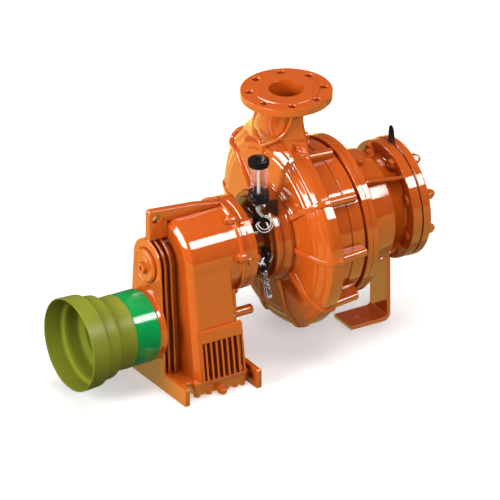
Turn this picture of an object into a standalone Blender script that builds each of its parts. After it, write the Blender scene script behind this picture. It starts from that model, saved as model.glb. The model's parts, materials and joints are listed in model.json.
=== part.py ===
"""Centrifugal sludge pump with gear unit and power take-off guard.

Frame: origin under the middle of the front foot rail, +Y along the pump shaft
towards the suction side, +Z up, metres. Drawing sizes below are in millimetres,
measured from the pump shaft axis (X = 0, Z = 0).
"""
import math

import bmesh
import bpy

# driving dimensions, millimetres
RAIL_MID_Y = -384.0      # middle of the front foot rail
FLOOR_Z = -307.0         # underside of the feet
PTO_Z = -158.0           # height of the input shaft axis
GAP = 0.3                # joint gap between neighbouring pieces

FLANGE_TOP_Z, FLANGE_T, FLANGE_R = 370.0, 22.0, 110.0
FLANGE_PCD_R, FLANGE_HOLE_R, BORE_R = 90.0, 9.0, 43.0
FACE_R = 79.0

RIM_Y = 26.0             # suction side edge of the spiral
BAND_R = 190.0           # cylindrical band behind the spiral
COVER_R = 196.0          # suction cover rim
HUB_R = 119.0            # shaft side hub of the casing
RIB_ANGLES = (76, 38, -1, -40, -76, -108, -144, 180, 144, 108)

SUCTION_R = 75.0
SFL_R = 146.0            # suction flange radius
SFL_PCD_R = 120.0

GB_FRONT_Y, GB_REAR_Y = -340.0, -223.0
GB_FOOT_REAR_Y = -198.5  # rear of the lower housing and its foot flange
GB_TOP_R, GB_FOOT_X, GB_FOOT_Z = 110.0, 150.0, -270.0
PLATE_Y0, PLATE_Y1 = -392.5, -387.0
RAIL_Y0, RAIL_Y1 = -391.0, -377.0
BOSS_Y, RING_Y = -407.0, -188.5
RAIL_X, RAIL_TOP_Z = 176.0, -263.0
HOUSING_R = 116.5
VALVE_Z = -20.0          # height of the drain valve's inlet

ORANGE = (0.62, 0.16, 0.02)
OLIVE = (0.28, 0.30, 0.03)
GREEN = (0.0, 0.36, 0.07)
BLACK = (0.02, 0.02, 0.02)
GLASS = (0.85, 0.88, 0.88)
STEEL = (0.45, 0.45, 0.46)
DARK = (0.12, 0.12, 0.13)


def clear_scene():
    for ob in list(bpy.data.objects):
        bpy.data.objects.remove(ob, do_unlink=True)


def material(name, colour, rough=0.35, metal=0.0):
    mat = bpy.data.materials.new(name)
    mat.use_nodes = True
    bsdf = mat.node_tree.nodes["Principled BSDF"]
    bsdf.inputs["Base Color"].default_value = (*colour, 1.0)
    bsdf.inputs["Roughness"].default_value = rough
    bsdf.inputs["Metallic"].default_value = metal
    return mat


def to_object(name, bm, at, smooth):
    bmesh.ops.recalc_face_normals(bm, faces=bm.faces)
    mesh = bpy.data.meshes.new(name)
    bm.to_mesh(mesh)
    bm.free()
    if smooth:
        mesh.shade_smooth()
        mesh.set_sharp_from_angle(angle=math.radians(32))
    ob = bpy.data.objects.new(name, mesh)
    bpy.context.scene.collection.objects.link(ob)
    ob.location = (at[0] / 1000, (at[1] - RAIL_MID_Y) / 1000, (at[2] - FLOOR_Z) / 1000)
    return ob


def lathe(name, profile, n=48, at=(0, 0, 0), axis="Y", turn=0.0):
    """Solid of revolution; profile is a closed loop of (radius, along) points."""
    bm = bmesh.new()
    rings = []
    for r, a in profile:
        ring = []
        for i in range(1 if r == 0 else n):
            t = math.radians(turn) + 2 * math.pi * i / n
            u, v = r * math.cos(t), r * math.sin(t)
            p = {"X": (a, u, v), "Y": (u, a, v), "Z": (u, v, a)}[axis]
            ring.append(bm.verts.new([c / 1000 for c in p]))
        rings.append(ring)
    for k, ring in enumerate(rings):
        nxt = rings[(k + 1) % len(rings)]
        if len(ring) == 1 and len(nxt) == 1:
            continue
        for i in range(n):
            j = (i + 1) % n
            quad = [ring[i % len(ring)], ring[j % len(ring)], nxt[j % len(nxt)], nxt[i % len(nxt)]]
            face = list(dict.fromkeys(quad))
            if len(face) > 2:
                bm.faces.new(face)
    return to_object(name, bm, at, True)


def rod(name, r, a, b, n=20, at=(0, 0, 0), axis="Y", turn=0.0):
    return lathe(name, [(0, a), (r, a), (r, b), (0, b)], n, at, axis, turn)


def loft(name, sections, at=(0, 0, 0), smooth=True):
    """Closed solid through equal loops of (x, y, z) points."""
    bm = bmesh.new()
    loops = [[bm.verts.new([c / 1000 for c in p]) for p in sec] for sec in sections]
    n = len(loops[0])
    for one, two in zip(loops, loops[1:]):
        for i in range(n):
            j = (i + 1) % n
            bm.faces.new((one[i], one[j], two[j], two[i]))
    bm.faces.new(loops[0][::-1])
    bm.faces.new(loops[-1])
    return to_object(name, bm, at, smooth)


def prism(name, outline, a, b, axis="Y", at=(0, 0, 0), smooth=False):
    """Outline (two coordinates in X, Y, Z order without the axis) run from a to b."""
    def point(uv, w):
        u, v = uv
        return {"X": (w, u, v), "Y": (u, w, v), "Z": (u, v, w)}[axis]
    return loft(name, [[point(p, a) for p in outline], [point(p, b) for p in outline]], at, smooth)


def box(name, x0, x1, y0, y1, z0, z1):
    return prism(name, [(x0, y0), (x1, y0), (x1, y1), (x0, y1)], z0, z1, "Z")


def boolean(ob, operation, others):
    for other in others:
        mod = ob.modifiers.new(operation.lower() + "_" + other.name, "BOOLEAN")
        mod.operation = operation
        mod.solver = "EXACT"
        mod.object = other
        other.hide_render = True
        other.display_type = "WIRE"


def fuse(ob, *others):
    boolean(ob, "UNION", others)
    return ob


def cut(ob, *others):
    boolean(ob, "DIFFERENCE", others)
    return ob


def paint(ob, colour, rough=0.35, metal=0.0):
    ob.data.materials.append(material(ob.name + "_material", colour, rough, metal))
    return ob


def arc(cx, cz, r, a0, a1, n):
    return [(cx + r * math.cos(math.radians(a0 + (a1 - a0) * i / n)),
             cz + r * math.sin(math.radians(a0 + (a1 - a0) * i / n))) for i in range(n + 1)]


def ellipse(cx, cy, cz, ax, ay, n=32):
    return [(cx + ax * math.cos(2 * math.pi * i / n), cy + ay * math.sin(2 * math.pi * i / n), cz)
            for i in range(n)]


# spiral casing

def spiral_radius(deg):
    """Outer radius of the spiral at an angle, degrees from +X towards +Z."""
    deg = deg % 360
    knots = [(0, 224), (42, 205), (64, 206), (78, 218), (90, 234), (102, 247), (126, 262), (141, 267),
             (156, 271), (180, 275), (215, 277), (236, 274), (249, 270), (257, 265), (265, 257),
             (274, 250), (284, 250), (294, 245.5), (305, 237), (315, 233.5), (334, 231), (360, 224)]
    for (a, ra), (b, rb) in zip(knots, knots[1:]):
        if a <= deg <= b:
            return ra + (rb - ra) * (deg - a) / (b - a)
    return 224.0


def dome_profile(radius):
    t = radius - HUB_R
    return [(HUB_R - 1, -43), (HUB_R + 0.62 * t, -30), (HUB_R + 0.67 * t, -22),
            (HUB_R + 0.83 * t, -16), (HUB_R + 0.89 * t, -7), (radius - 5, -1), (radius, 9),
            (radius, RIM_Y)]


def ring_solid(name, profile_at, n, turn=0.0):
    """Solid disc whose closed rim profile changes with the angle."""
    bm = bmesh.new()
    rings = []
    for i in range(n):
        deg = 360.0 * i / n + turn
        t = math.radians(deg)
        rings.append([bm.verts.new((r * math.cos(t) / 1000, y / 1000, r * math.sin(t) / 1000))
                      for r, y in profile_at(deg)])
    m = len(rings[0])
    for i in range(n):
        one, two = rings[i], rings[(i + 1) % n]
        for k in range(m - 1):
            bm.faces.new((one[k], one[k + 1], two[k + 1], two[k]))
    bm.faces.new([ring[0] for ring in rings])
    bm.faces.new([ring[-1] for ring in rings][::-1])
    return to_object(name, bm, (0, 0, 0), True)


def nozzle(name, grow, top):
    """Swan neck from the flange down into the spiral; grow is added to every radius."""
    rows = [(top, 0, 0, 57, 57), (340, -3, 0, 57, 57), (318, -12, 0, 56, 56), (298, -22, -1, 57, 55),
            (278, -31, -3, 62, 53), (256, -37, -3, 82, 49), (232, -43, 0, 102, 41),
            (205, -54, 4, 124, 33), (172, -68, 6, 142, 26), (132, -86, 8, 154, 20)]
    return loft(name, [ellipse(cx, cy, z, ax + grow, ay + grow) for z, cx, cy, ax, ay in rows])


def volute_casing():
    body = ring_solid("volute_casing", lambda d: dome_profile(spiral_radius(d)), 60, 1.0)
    parts = [lathe("casing_band", [(0, 10), (BAND_R, 10), (BAND_R, 68.5), (BAND_R - 3, 68.5),
                                   (BAND_R - 3, 71.5), (BAND_R, 71.5), (BAND_R, 106), (0, 106)], 48)]
    parts.append(lathe("casing_hub_seat", [(0, -45), (HUB_R - 4, -45), (HUB_R, -41), (HUB_R, 0), (0, 0)],
                       36))
    parts.append(nozzle("casing_neck", 0.0, 350))
    for k, deg in enumerate(RIB_ANGLES):
        c, s = math.cos(math.radians(deg)), math.sin(math.radians(deg))
        reach = spiral_radius(deg)
        t = reach - HUB_R
        side = [(HUB_R - 8, -38), (HUB_R - 8, -43.4), (HUB_R + 1, -43.4), (HUB_R + 1, -50),
                (HUB_R + 6, -52), (HUB_R + 0.5 * t, -40), (HUB_R + 0.8 * t, -27),
                (reach - 4, -12), (reach + 6, 3), (reach + 7, 20), (reach + 3, 25.4), (reach - 30, 24)]
        half = 5.0
        if k in (8, 9):
            side = side[:6] + [(reach - 22, -26), (reach - 16, -16), (reach - 18, 6), (reach - 44, 6)]
        parts.append(loft("casing_rib_%d" % k,
                          [[(r * c - w * s, y, r * s + w * c) for r, y in side] for w in (-half, half)],
                          smooth=False))
        rows = []
        out = 217 if deg == 108 else min(max(reach, 217), 233)
        for y, out in ((20, out + 1), (96, out - 6)):
            lug = [(BAND_R - 14, -11.5), (out - 4, -11.5), (out, -7.5), (out, 7.5), (out - 4, 11.5),
                   (BAND_R - 14, 11.5)]
            rows.append([(u * c - v * s, y, u * s + v * c) for u, v in lug])
        parts.append(loft("casing_lug_%d" % k, rows, smooth=False))
    fuse(body, *parts)
    fuse(body, lathe("casing_flange", [(0, FLANGE_TOP_Z - FLANGE_T), (FLANGE_R - 2, FLANGE_TOP_Z - FLANGE_T),
                                       (FLANGE_R, FLANGE_TOP_Z - FLANGE_T + 2),
                                       (FLANGE_R, FLANGE_TOP_Z - 2),
                                       (FACE_R, FLANGE_TOP_Z - 2), (FACE_R, FLANGE_TOP_Z),
                                       (0, FLANGE_TOP_Z)], 48, axis="Z"))
    fuse(body, lathe("casing_drain_boss", [(0, -2), (14.5, -2), (14.5, 44), (11, 48), (0, 48)], 20,
                     (-107.5, 0, -243)))
    cavity = ring_solid("casing_cavity", lambda d: cavity_profile(spiral_radius(d)), 36, 4.3)
    bore = loft("casing_bore", [ellipse(cx, cy, z, ax, ay, 24) for z, cx, cy, ax, ay in (
        (FLANGE_TOP_Z + 6, 0, 0, BORE_R, BORE_R), (340, -3, 0, BORE_R, BORE_R),
        (312, -15, 0, 42, 42), (280, -31, -2, 44, 40), (250, -42, -1, 62, 34),
        (205, -72, 4, 82, 20), (121, -112, 5, 94, 11))])
    chamber = lathe("casing_chamber", [(0, -60), (62, -60), (62, -25), (100, -21), (148, -13), (171, -5),
                                       (171, 120), (0, 120)], 40, turn=1.7)
    cut(body, chamber, cavity, bore)
    for k in range(8):
        t = math.radians(22.5 + 45 * k)
        cut(body, rod("casing_flange_hole_%d" % k, FLANGE_HOLE_R, FLANGE_TOP_Z - FLANGE_T - 12,
                      FLANGE_TOP_Z + 5, 12,
                      (FLANGE_PCD_R * math.cos(t), FLANGE_PCD_R * math.sin(t), 0), "Z"))
    return paint(body, ORANGE, 0.28)


def cavity_profile(radius):
    r = max(radius - 13, 176)
    return [(130, -11), (r - 8, 4), (r, 10), (r, 17.5), (130, 17.5)]


def seal_housing():
    ob = lathe("seal_housing", [(61.7, 3), (61.7, -45.3), (HUB_R - 3, -45.3), (HUB_R - 1, -48),
                                (HUB_R - 1, -60), (HUB_R - 7, -63), (HUB_R - 7, -86),
                                (HUB_R - 12, -92), (30, -92), (30, 3)], 40)
    fuse(ob, box("bracket_pad", 50, 70, -83, -65.5, 80, 96.7))
    return paint(ob, ORANGE, 0.3)


def lantern_neck():
    ob = lathe("lantern_neck", [(60, -92.3), (98, -92.3), (98, -102), (76, -108), (72, -114),
                                (72, -134), (90, -147.7), (60, -147.7)], 32)
    fuse(ob, rod("neck_valve_boss", 10, 64, 76, 16, (0, -122, VALVE_Z), "X"))
    return paint(ob, (0.42, 0.10, 0.012), 0.4)


def pump_shaft():
    ob = lathe("pump_shaft", [(0, -250), (24, -250), (24, -60), (20, -56), (20, 34), (10, 40), (0, 40)], 28)
    return paint(ob, STEEL, 0.3, 1.0)


def impeller():
    body = lathe("impeller", [(20.3, 5), (150, 9), (150, 15), (60, 17), (32, 30), (26, 39),
                              (20.3, 39)], 36, turn=3.1)
    blades = []
    for k in range(4):
        a0 = 90.0 * k
        mid = []
        for i in range(6):
            f = i / 5
            r = 23 + 124 * f
            t = math.radians(a0 - 88 * f ** 0.8)
            mid.append((r * math.cos(t), r * math.sin(t), t - math.radians(62)))
        left = [(x + 3 * math.sin(h), z - 3 * math.cos(h)) for x, z, h in mid]
        right = [(x - 3 * math.sin(h), z + 3 * math.cos(h)) for x, z, h in mid]
        blades.append(prism("impeller_blade_%d" % k, left + right[::-1], 12, 46))
    fuse(body, *blades)
    return paint(body, DARK, 0.5, 0.7)


def suction_cover():
    body = lathe("suction_cover", [
        (SUCTION_R, 60), (170, 60), (170, 106.3), (182, 106.3), (182, 110.5),
        (COVER_R, 110.5), (COVER_R, 140), (COVER_R - 3, 143), (166, 144), (152, 149), (146, 160),
        (143, 185), (139, 203), (134, 219), (127, 235), (117, 247), (113, 253), (113, 268),
        (SFL_R, 268), (SFL_R, 293), (SUCTION_R, 293)], 48)
    gussets = []
    for k, deg in enumerate((47, 133, -45, -135)):
        c, s = math.cos(math.radians(deg)), math.sin(math.radians(deg))
        side = ([(95, 139), (188, 139), (186, 165), (143, 262), (143, 269), (95, 269)] if deg == 47 else
                [(95, 180), (144, 184), (150, 200), (128, 255), (128, 269), (95, 269)])
        gussets.append(loft("suction_gusset_%d" % k,
                            [[(r * c - w * s, y, r * s + w * c) for r, y in side] for w in (-4.5, 4.5)],
                            smooth=False))
    gussets.append(rod("suction_plug_boss", 13, 80, 143, 16, (15, 222, 0), "Z"))
    gussets.append(rod("suction_plug_head", 8, 140, 151, 6, (15, 222, 0), "Z"))
    fuse(body, *gussets)
    return paint(body, ORANGE, 0.28)


def suction_gasket():
    body = lathe("suction_gasket", [(SUCTION_R, 293.3), (SFL_R, 293.3), (SFL_R, 295.7), (SUCTION_R, 295.7)],
                 48)
    tab = prism("gasket_tab", [(-15, SFL_R - 8), (15, SFL_R - 8), (12, SFL_R + 18), (10.5, SFL_R + 35),
                               (7, SFL_R + 42), (0, SFL_R + 45), (-7, SFL_R + 42), (-10.5, SFL_R + 35),
                               (-12, SFL_R + 18)], 293.4, 295.6)
    fuse(body, tab)
    return paint(body, BLACK, 0.6)


def suction_flange():
    body = lathe("suction_flange", [(SUCTION_R, 296), (SFL_R - 1, 296), (SFL_R + 1, 298),
                                    (SFL_R + 1, 316), (SFL_R - 1, 318), (SUCTION_R, 318)], 48)
    for k in range(8):
        t = math.radians(22.5 + 45 * k)
        at = (SFL_PCD_R * math.cos(t), 0, SFL_PCD_R * math.sin(t))
        nut = rod("suction_nut_%d" % k, 14.5, 314, 334, 6, at, turn=22.5)
        stud = rod("suction_stud_%d" % k, 8, 320, 345, 8, at)
        fuse(body, nut, stud)
    return paint(body, ORANGE, 0.3)


def suction_screws():
    """Heads on the pump side of the flange joint, above the barrel."""
    for i, deg in enumerate((67.5, 112.5)):
        t = math.radians(deg)
        ob = rod("suction_screw_%d" % i, 12.5, 254, 267.7, 6,
                 (127 * math.cos(t), 0, 127 * math.sin(t)), turn=30)
        paint(ob, ORANGE, 0.3)


def support_foot():
    r, t = 20.0, 10.0
    y_back, y_toe = 267.7, 158.0
    outer = [(y_toe, FLOOR_Z), (y_back - r, FLOOR_Z)]
    outer += [(y_back - r + r * math.sin(math.radians(a)), FLOOR_Z + r - r * math.cos(math.radians(a)))
              for a in (15, 30, 45, 60, 75, 90)]
    outer += [(y_back, -113.5)]
    inner = [(y_back - t, -113.5)]
    inner += [(y_back - r + (r - t) * math.sin(math.radians(a)),
               FLOOR_Z + r - (r - t) * math.cos(math.radians(a))) for a in (90, 60, 30, 0)]
    inner += [(y_toe, FLOOR_Z + t)]
    body = prism("support_foot", outer + inner, -40, 40, "X")
    cut(body, rod("foot_hole", 9, FLOOR_Z - 5, FLOOR_Z + t + 5, 20, (0, 200, 0), "Z"))
    bolts = []
    for k in (5, 6):
        x = 27 if k == 6 else -27
        bolts.append(rod("foot_screw_%d" % k, 12, 249, 262, 6, (x, 0, -130), turn=30))
    fuse(body, *bolts)
    return paint(body, ORANGE, 0.3)


# gear unit

def plate_outline(inset=0.0, foot_z=-262.0, n=16):
    return ([(-(82 - inset), foot_z)] + arc(0, 6, 61 - inset, 184, -4, n)
            + [(82 - inset, foot_z)])


def front_cover():
    body = prism("gear_front_cover", plate_outline(0, -266), PLATE_Y0, PLATE_Y1, smooth=True)
    rail = prism("front_rail", [(-RAIL_X, FLOOR_Z), (RAIL_X, FLOOR_Z), (RAIL_X, RAIL_TOP_Z),
                                (RAIL_X - 2, RAIL_TOP_Z + 2), (-RAIL_X + 2, RAIL_TOP_Z + 2),
                                (-RAIL_X, RAIL_TOP_Z)], RAIL_Y0, RAIL_Y1)
    boss = lathe("input_boss", [(0, BOSS_Y), (93, BOSS_Y), (95.5, BOSS_Y + 2.5), (100, PLATE_Y1 - 0.5),
                                (0, PLATE_Y1 - 0.5)], 48, (0, 0, PTO_Z))
    fuse(body, rail, boss)
    cut(body, rod("input_bore", 30, -412, PLATE_Y1 - 4, 32, (0, 0, PTO_Z)))
    return paint(body, ORANGE, 0.3)


def bearing_cap():
    body = lathe("bearing_cap", [(0, PLATE_Y0 - GAP), (43, PLATE_Y0 - GAP), (42.5, PLATE_Y0 - 2),
                                 (36, PLATE_Y0 - 6), (0, PLATE_Y0 - 6)], 40)
    plug = rod("cap_plug", 15, PLATE_Y0 - 8.5, PLATE_Y0 - 5, 6, (2, 0, -4), turn=30)
    fuse(body, plug)
    return paint(body, ORANGE, 0.3)


def cover_fins():
    core = prism("gear_cover_fins", plate_outline(16, -260.7), PLATE_Y1 + GAP, GB_FRONT_Y - GAP,
                 smooth=True)
    for k, y in enumerate((-379.0, -362.5)):
        fuse(core, prism("cover_fin_%d" % k, plate_outline(0.5, -251.5), y, y + 7, smooth=True))
    shelf = box("cover_shelf", -90, 90, RAIL_Y1 + GAP, GB_FRONT_Y - GAP, -263, -252)
    fuse(core, shelf)
    return paint(core, (0.55, 0.14, 0.018), 0.35)


def casing_outline(inset, foot_z, n=18):
    r = GB_TOP_R - inset
    x = GB_FOOT_X - inset
    return [(-x, foot_z)] + arc(0, 0, r, 184, -4, n) + [(x, foot_z)]


def gear_housing():
    rows = [(GB_FRONT_Y, 8), (GB_FRONT_Y + 2.5, 3.5), (GB_FRONT_Y + 6, 1), (GB_FRONT_Y + 10, 0),
            (GB_REAR_Y - 2, 0), (GB_REAR_Y, 2)]
    body = loft("gear_housing", [[(x, y, z) for x, z in casing_outline(inset, GB_FOOT_Z)]
                                 for y, inset in rows])
    low = prism("housing_low", [(-118, GB_FOOT_Z + 1), (-96, -142), (96, -142), (118, GB_FOOT_Z + 1)],
                -240, GB_FOOT_REAR_Y)
    foot = box("housing_foot", -154, 154, -352, GB_FOOT_REAR_Y + 0.5, -277, -268)
    fuse(body, low, foot)
    fuse(body, lathe("housing_rear", [(0, -250), (GB_TOP_R - 6, -250), (GB_TOP_R + 1.2, -243),
                                      (GB_TOP_R + 1.2, RING_Y - 6), (HOUSING_R + 1, RING_Y - 4.5),
                                      (HOUSING_R + 1, RING_Y + 4.5), (HOUSING_R - 3.5, RING_Y + 7),
                                      (HOUSING_R - 3.5, -168), (HOUSING_R - 1.5, -166), (HOUSING_R - 1.5, -148),
                                      (0, -148)], 48))
    cut(body, rod("housing_shaft_bore", 24.3, -250.3, -140, 28))
    arm = rod("housing_rear_boss", 12, -215, -147, 20, (80, 0, -147))
    arm_web = prism("housing_boss_web", [(68, -147), (92, -147), (84, -80), (60, -80)], -214, -180)
    fuse(body, arm, arm_web)
    for k, deg in enumerate((57.5, 8, -52, -103, 152)):
        t = math.radians(deg)
        at = (111 * math.cos(t), 0, 111 * math.sin(t))
        fuse(body, rod("housing_ear_%d" % k, 13.5, RING_Y - 14, RING_Y + 5, 20, at))
        fuse(body, rod("housing_bolt_%d" % k, 9, RING_Y - 22, RING_Y - 8, 6, at))
    for k, deg in enumerate((50, -1, 101, -75, 152)):
        t = math.radians(deg)
        fuse(body, rod("housing_rear_bolt_%d" % k, 10, -160, -136, 6, (103 * math.cos(t), 0, 103 * math.sin(t))))
    return paint(body, ORANGE, 0.28)


def lifting_web():
    body = prism("lifting_web", [(-390.7, 67.3), (-390.7, 136), (-387, 142), (-381, 144), (-262, 132.5),
                                 (-200, 121.5), (-196, 119.5), (-196, 111.6), (-244, 111.6),
                                 (-251, 110.3), (-340.3, 110.3), (-340.3, 67.3)], -10, 10, "X")
    cut(body, rod("web_eye", 9.5, -20, 20, 20, (0, -370, 119), "X"))
    return paint(body, ORANGE, 0.3)


def side_fins(sign, name):
    """Bare band with eight vertical fins below it, on a sloping side."""
    def x_at(z):
        return GB_TOP_R + (GB_FOOT_X - GB_TOP_R) * (-z) / (-GB_FOOT_Z)
    y0, y1 = -328.0, -210.0
    profile = [(GAP, -140), (9, -141.5), (9, -170.5), (3, -172.5), (3, -267), (GAP, -267)]
    body = prism(name, [(sign * (x_at(z) + d), z) for d, z in profile], y0, y1)
    for k in range(8):
        y = y0 + 5 + k * 15.2
        fin = [(1.4, -265.5), (11, -265.5), (11, -166), (1.4, -166)]
        fuse(body, prism(name + "_fin_%d" % k, [(sign * (x_at(z) + d - (2.4 if z == -166 and d > 2 else 0)), z)
                                                for d, z in fin], y, y + 5))
    return paint(body, (0.55, 0.14, 0.018), 0.35)


def sump_pan():
    pts = [(-152, -350), (152, -350), (152, -200), (-152, -200)]
    low = [(-141, -338), (141, -338), (141, -211), (-141, -211)]
    body = loft("sump_pan", [[(x, y, -277.3) for x, y in pts], [(x, y, -297) for x, y in pts],
                             [(x, y, -302) for x, y in low]], smooth=False)
    for k, (x, y) in enumerate(((-110, -320), (110, -320), (110, -230), (-110, -230), (110, -275))):
        fuse(body, rod("pan_bump_%d" % k, 9, -305.5, -298, 12, (x, y, 0), "Z"))
    return paint(body, ORANGE, 0.32)


def drain_plug():
    ob = lathe("drain_plug", [(0, 152.3), (9.5, 152.3), (9.5, 158), (7.5, 160), (7.5, 168), (0, 168)], 16,
               (0, -275, -287), "X")
    return paint(ob, ORANGE, 0.35)


def rear_rail():
    body = box("gear_rear_rail", -RAIL_X - 1, RAIL_X + 1, -194, -180, FLOOR_Z, -258)
    fuse(body, prism("rear_rail_web", [(-118, -300), (118, -300), (100, -168), (-100, -168)], -197.6, -188))
    return paint(body, ORANGE, 0.3)


# power take-off

def pto_parts():
    at = (0, 0, PTO_Z)
    cone = lathe("pto_guard_cone", [
        (92, -471.3), (90, -510), (103, -526), (104, -555), (114, -563), (116, -610),
        (112.8, -610), (111, -566), (101, -558), (100, -528), (87, -513), (89, -471.3)], 44, at)
    paint(cone, OLIVE, 0.45)
    collar = lathe("pto_guard_collar", [(90.5, BOSS_Y - GAP), (90.5, -471), (60, -471), (60, -468),
                                        (87, -468), (87, BOSS_Y - GAP)], 44, at)
    paint(collar, GREEN, 0.3)
    shaft = rod("input_shaft", 16, -478, PLATE_Y1 - 4.3, 24, at)
    for k in range(6):
        t = math.radians(60 * k)
        c, s = math.cos(t), math.sin(t)
        tooth = [(10, -4.3), (17.5, -4.3), (17.5, 4.3), (10, 4.3)]
        fuse(shaft, prism("shaft_spline_%d" % k, [(u * c - v * s, u * s + v * c) for u, v in tooth],
                          -477, -418, at=at))
    cut(shaft, lathe("shaft_groove", [(14.5, -462), (20, -462), (20, -454), (14.5, -454)], 24, at))
    paint(shaft, STEEL, 0.3, 1.0)


# oil reservoir and fittings

OIL_X, OIL_Y = 62.0, -116.0


def oil_reservoir():
    at = (OIL_X, OIL_Y, 0)
    foot = lathe("reservoir_cap_bottom", [(0, 127), (25, 127), (26, 129), (26, 146), (25.5, 148),
                                          (0, 148)], 32, at, "Z")
    paint(foot, BLACK, 0.35)
    glass = lathe("reservoir_glass", [(20.5, 148.3), (23, 148.3), (23, 221.7), (20.5, 221.7)], 32, at, "Z")
    paint(glass, GLASS, 0.05)
    tube = rod("reservoir_tube", 4, 148.3, 221.7, 12, at, "Z")
    paint(tube, GLASS, 0.2)
    cap = lathe("reservoir_cap_top", [(0, 222), (25.5, 222), (26, 224), (26, 237), (24, 240), (0, 240)], 32,
                at, "Z")
    fuse(cap, rod("reservoir_cap_knob", 8, 238, 246, 12, at, "Z"))
    paint(cap, BLACK, 0.35)
    cone = lathe("reservoir_outlet", [(0, 123.4), (13, 123.4), (11, 117), (6, 112), (5, 94), (0, 94)],
                 16, at, "Z")
    paint(cone, STEEL, 0.35, 0.8)


def reservoir_bracket():
    body = prism("reservoir_bracket", [(-97, 126), (-97, 116), (-84, 97), (-64, 97), (-64, 129),
                                      (-70, 132), (-86, 131), (-89.3, 126)],
                 OIL_X - 2, OIL_X + 1, "X")
    fuse(body, box("bracket_tray", OIL_X - 18, OIL_X + 18, -134, -92, 123.7, 126.7))
    return paint(body, DARK, 0.45, 0.6)


def drain_valve():
    x0, z0, x1, z1 = 88.0, VALVE_Z, 122.0, -107.0
    length = math.hypot(x1 - x0, z1 - z0)
    prof = [(0, -6), (8.7, -6), (8.7, 14), (6, 16), (6, 26), (8.5, 28), (8.5, 42), (6, 45), (6, 56), (9.5, 58),
            (9.5, 84), (7, 86), (7, length), (0, length)]
    lean = math.radians(180) - math.atan2(x1 - x0, z0 - z1)
    ob = rod("drain_valve", 7.5, 76.3, 90, 16, (0, -122, z0), "X")
    body = lathe("valve_body", prof, 16, (x0, -122, z0), "Z")
    body.rotation_euler = (0.0, lean, 0.0)
    fuse(ob, body)
    return paint(ob, STEEL, 0.25, 1.0)


def main():
    clear_scene()
    volute_casing()
    seal_housing()
    lantern_neck()
    pump_shaft()
    impeller()
    suction_cover()
    suction_gasket()
    suction_flange()
    suction_screws()
    support_foot()
    front_cover()
    bearing_cap()
    cover_fins()
    gear_housing()
    lifting_web()
    side_fins(1, "side_fins_right")
    side_fins(-1, "side_fins_left")
    sump_pan()
    drain_plug()
    rear_rail()
    pto_parts()
    oil_reservoir()
    reservoir_bracket()
    drain_valve()


main()
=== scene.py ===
"""Looks of a centrifugal sludge pump with gear unit, power take-off guard and oil reservoir.

Pieces are drawn in millimetres from the pump shaft axis, as the solids are, and placed in
the row frame by place().
"""
import json
from math import atan2, cos, hypot, pi, radians, sin, sqrt, tan

import bmesh
import bpy
from mathutils import Matrix, Vector

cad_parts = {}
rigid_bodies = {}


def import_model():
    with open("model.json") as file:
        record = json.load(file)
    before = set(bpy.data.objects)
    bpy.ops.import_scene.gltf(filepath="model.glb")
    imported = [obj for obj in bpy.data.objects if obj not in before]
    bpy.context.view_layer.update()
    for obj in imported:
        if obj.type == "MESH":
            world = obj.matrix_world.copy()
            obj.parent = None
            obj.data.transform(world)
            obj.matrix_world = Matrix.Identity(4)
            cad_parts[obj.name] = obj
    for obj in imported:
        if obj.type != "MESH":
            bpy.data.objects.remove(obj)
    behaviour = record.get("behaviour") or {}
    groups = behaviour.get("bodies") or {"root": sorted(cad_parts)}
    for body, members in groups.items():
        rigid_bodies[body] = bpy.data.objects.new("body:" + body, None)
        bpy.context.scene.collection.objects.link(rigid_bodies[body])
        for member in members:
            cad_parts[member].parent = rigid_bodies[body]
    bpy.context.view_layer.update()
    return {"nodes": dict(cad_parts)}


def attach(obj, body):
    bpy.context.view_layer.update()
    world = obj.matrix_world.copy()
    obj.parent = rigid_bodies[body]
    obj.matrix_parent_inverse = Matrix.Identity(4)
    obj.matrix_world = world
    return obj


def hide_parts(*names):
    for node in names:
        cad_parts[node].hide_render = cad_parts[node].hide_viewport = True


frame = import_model()
NODES = frame["nodes"]

# sizes in millimetres that several functions share
AXIS_Y, AXIS_Z = 384, 307  # where the drawing's origin lies in the row frame
PTO_Z = -158.0  # power take-off shaft, below the pump shaft
FLANGE_TOP, FLANGE_T, FLANGE_R, FACE_R = 370.0, 22.0, 111.4, 79.0  # discharge flange and its raised face
HUB_R, BAND_R, RIM_Y, COVER_R = 119.0, 190.0, 26.0, 196.0  # casing hub and band, dome rim, suction cover
FLANGE2_R, STUD_R = 146.0, 120.0  # suction flange and its studs' circle
GROUND = -307  # underside of the feet
EIGHTHS = [22.5 + 45 * k for k in range(8)]  # angles of the holes and studs of both flanges


def place(x, y, z):
    """Drawing point in millimetres to the row frame in metres."""
    return Vector((x / 1000, (y + AXIS_Y) / 1000, (z + AXIS_Z) / 1000))


# mesh building

def added(name, data):
    ob = bpy.data.objects.new(name, data)
    bpy.context.scene.collection.objects.link(ob)
    return ob


def mesh_object(name, bm, clean=True):
    if clean:
        bmesh.ops.remove_doubles(bm, verts=bm.verts, dist=2e-6)
        bmesh.ops.recalc_face_normals(bm, faces=bm.faces)
    mesh = bpy.data.meshes.new(name)
    bm.to_mesh(mesh)
    bm.free()
    return added(name, mesh)


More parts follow.
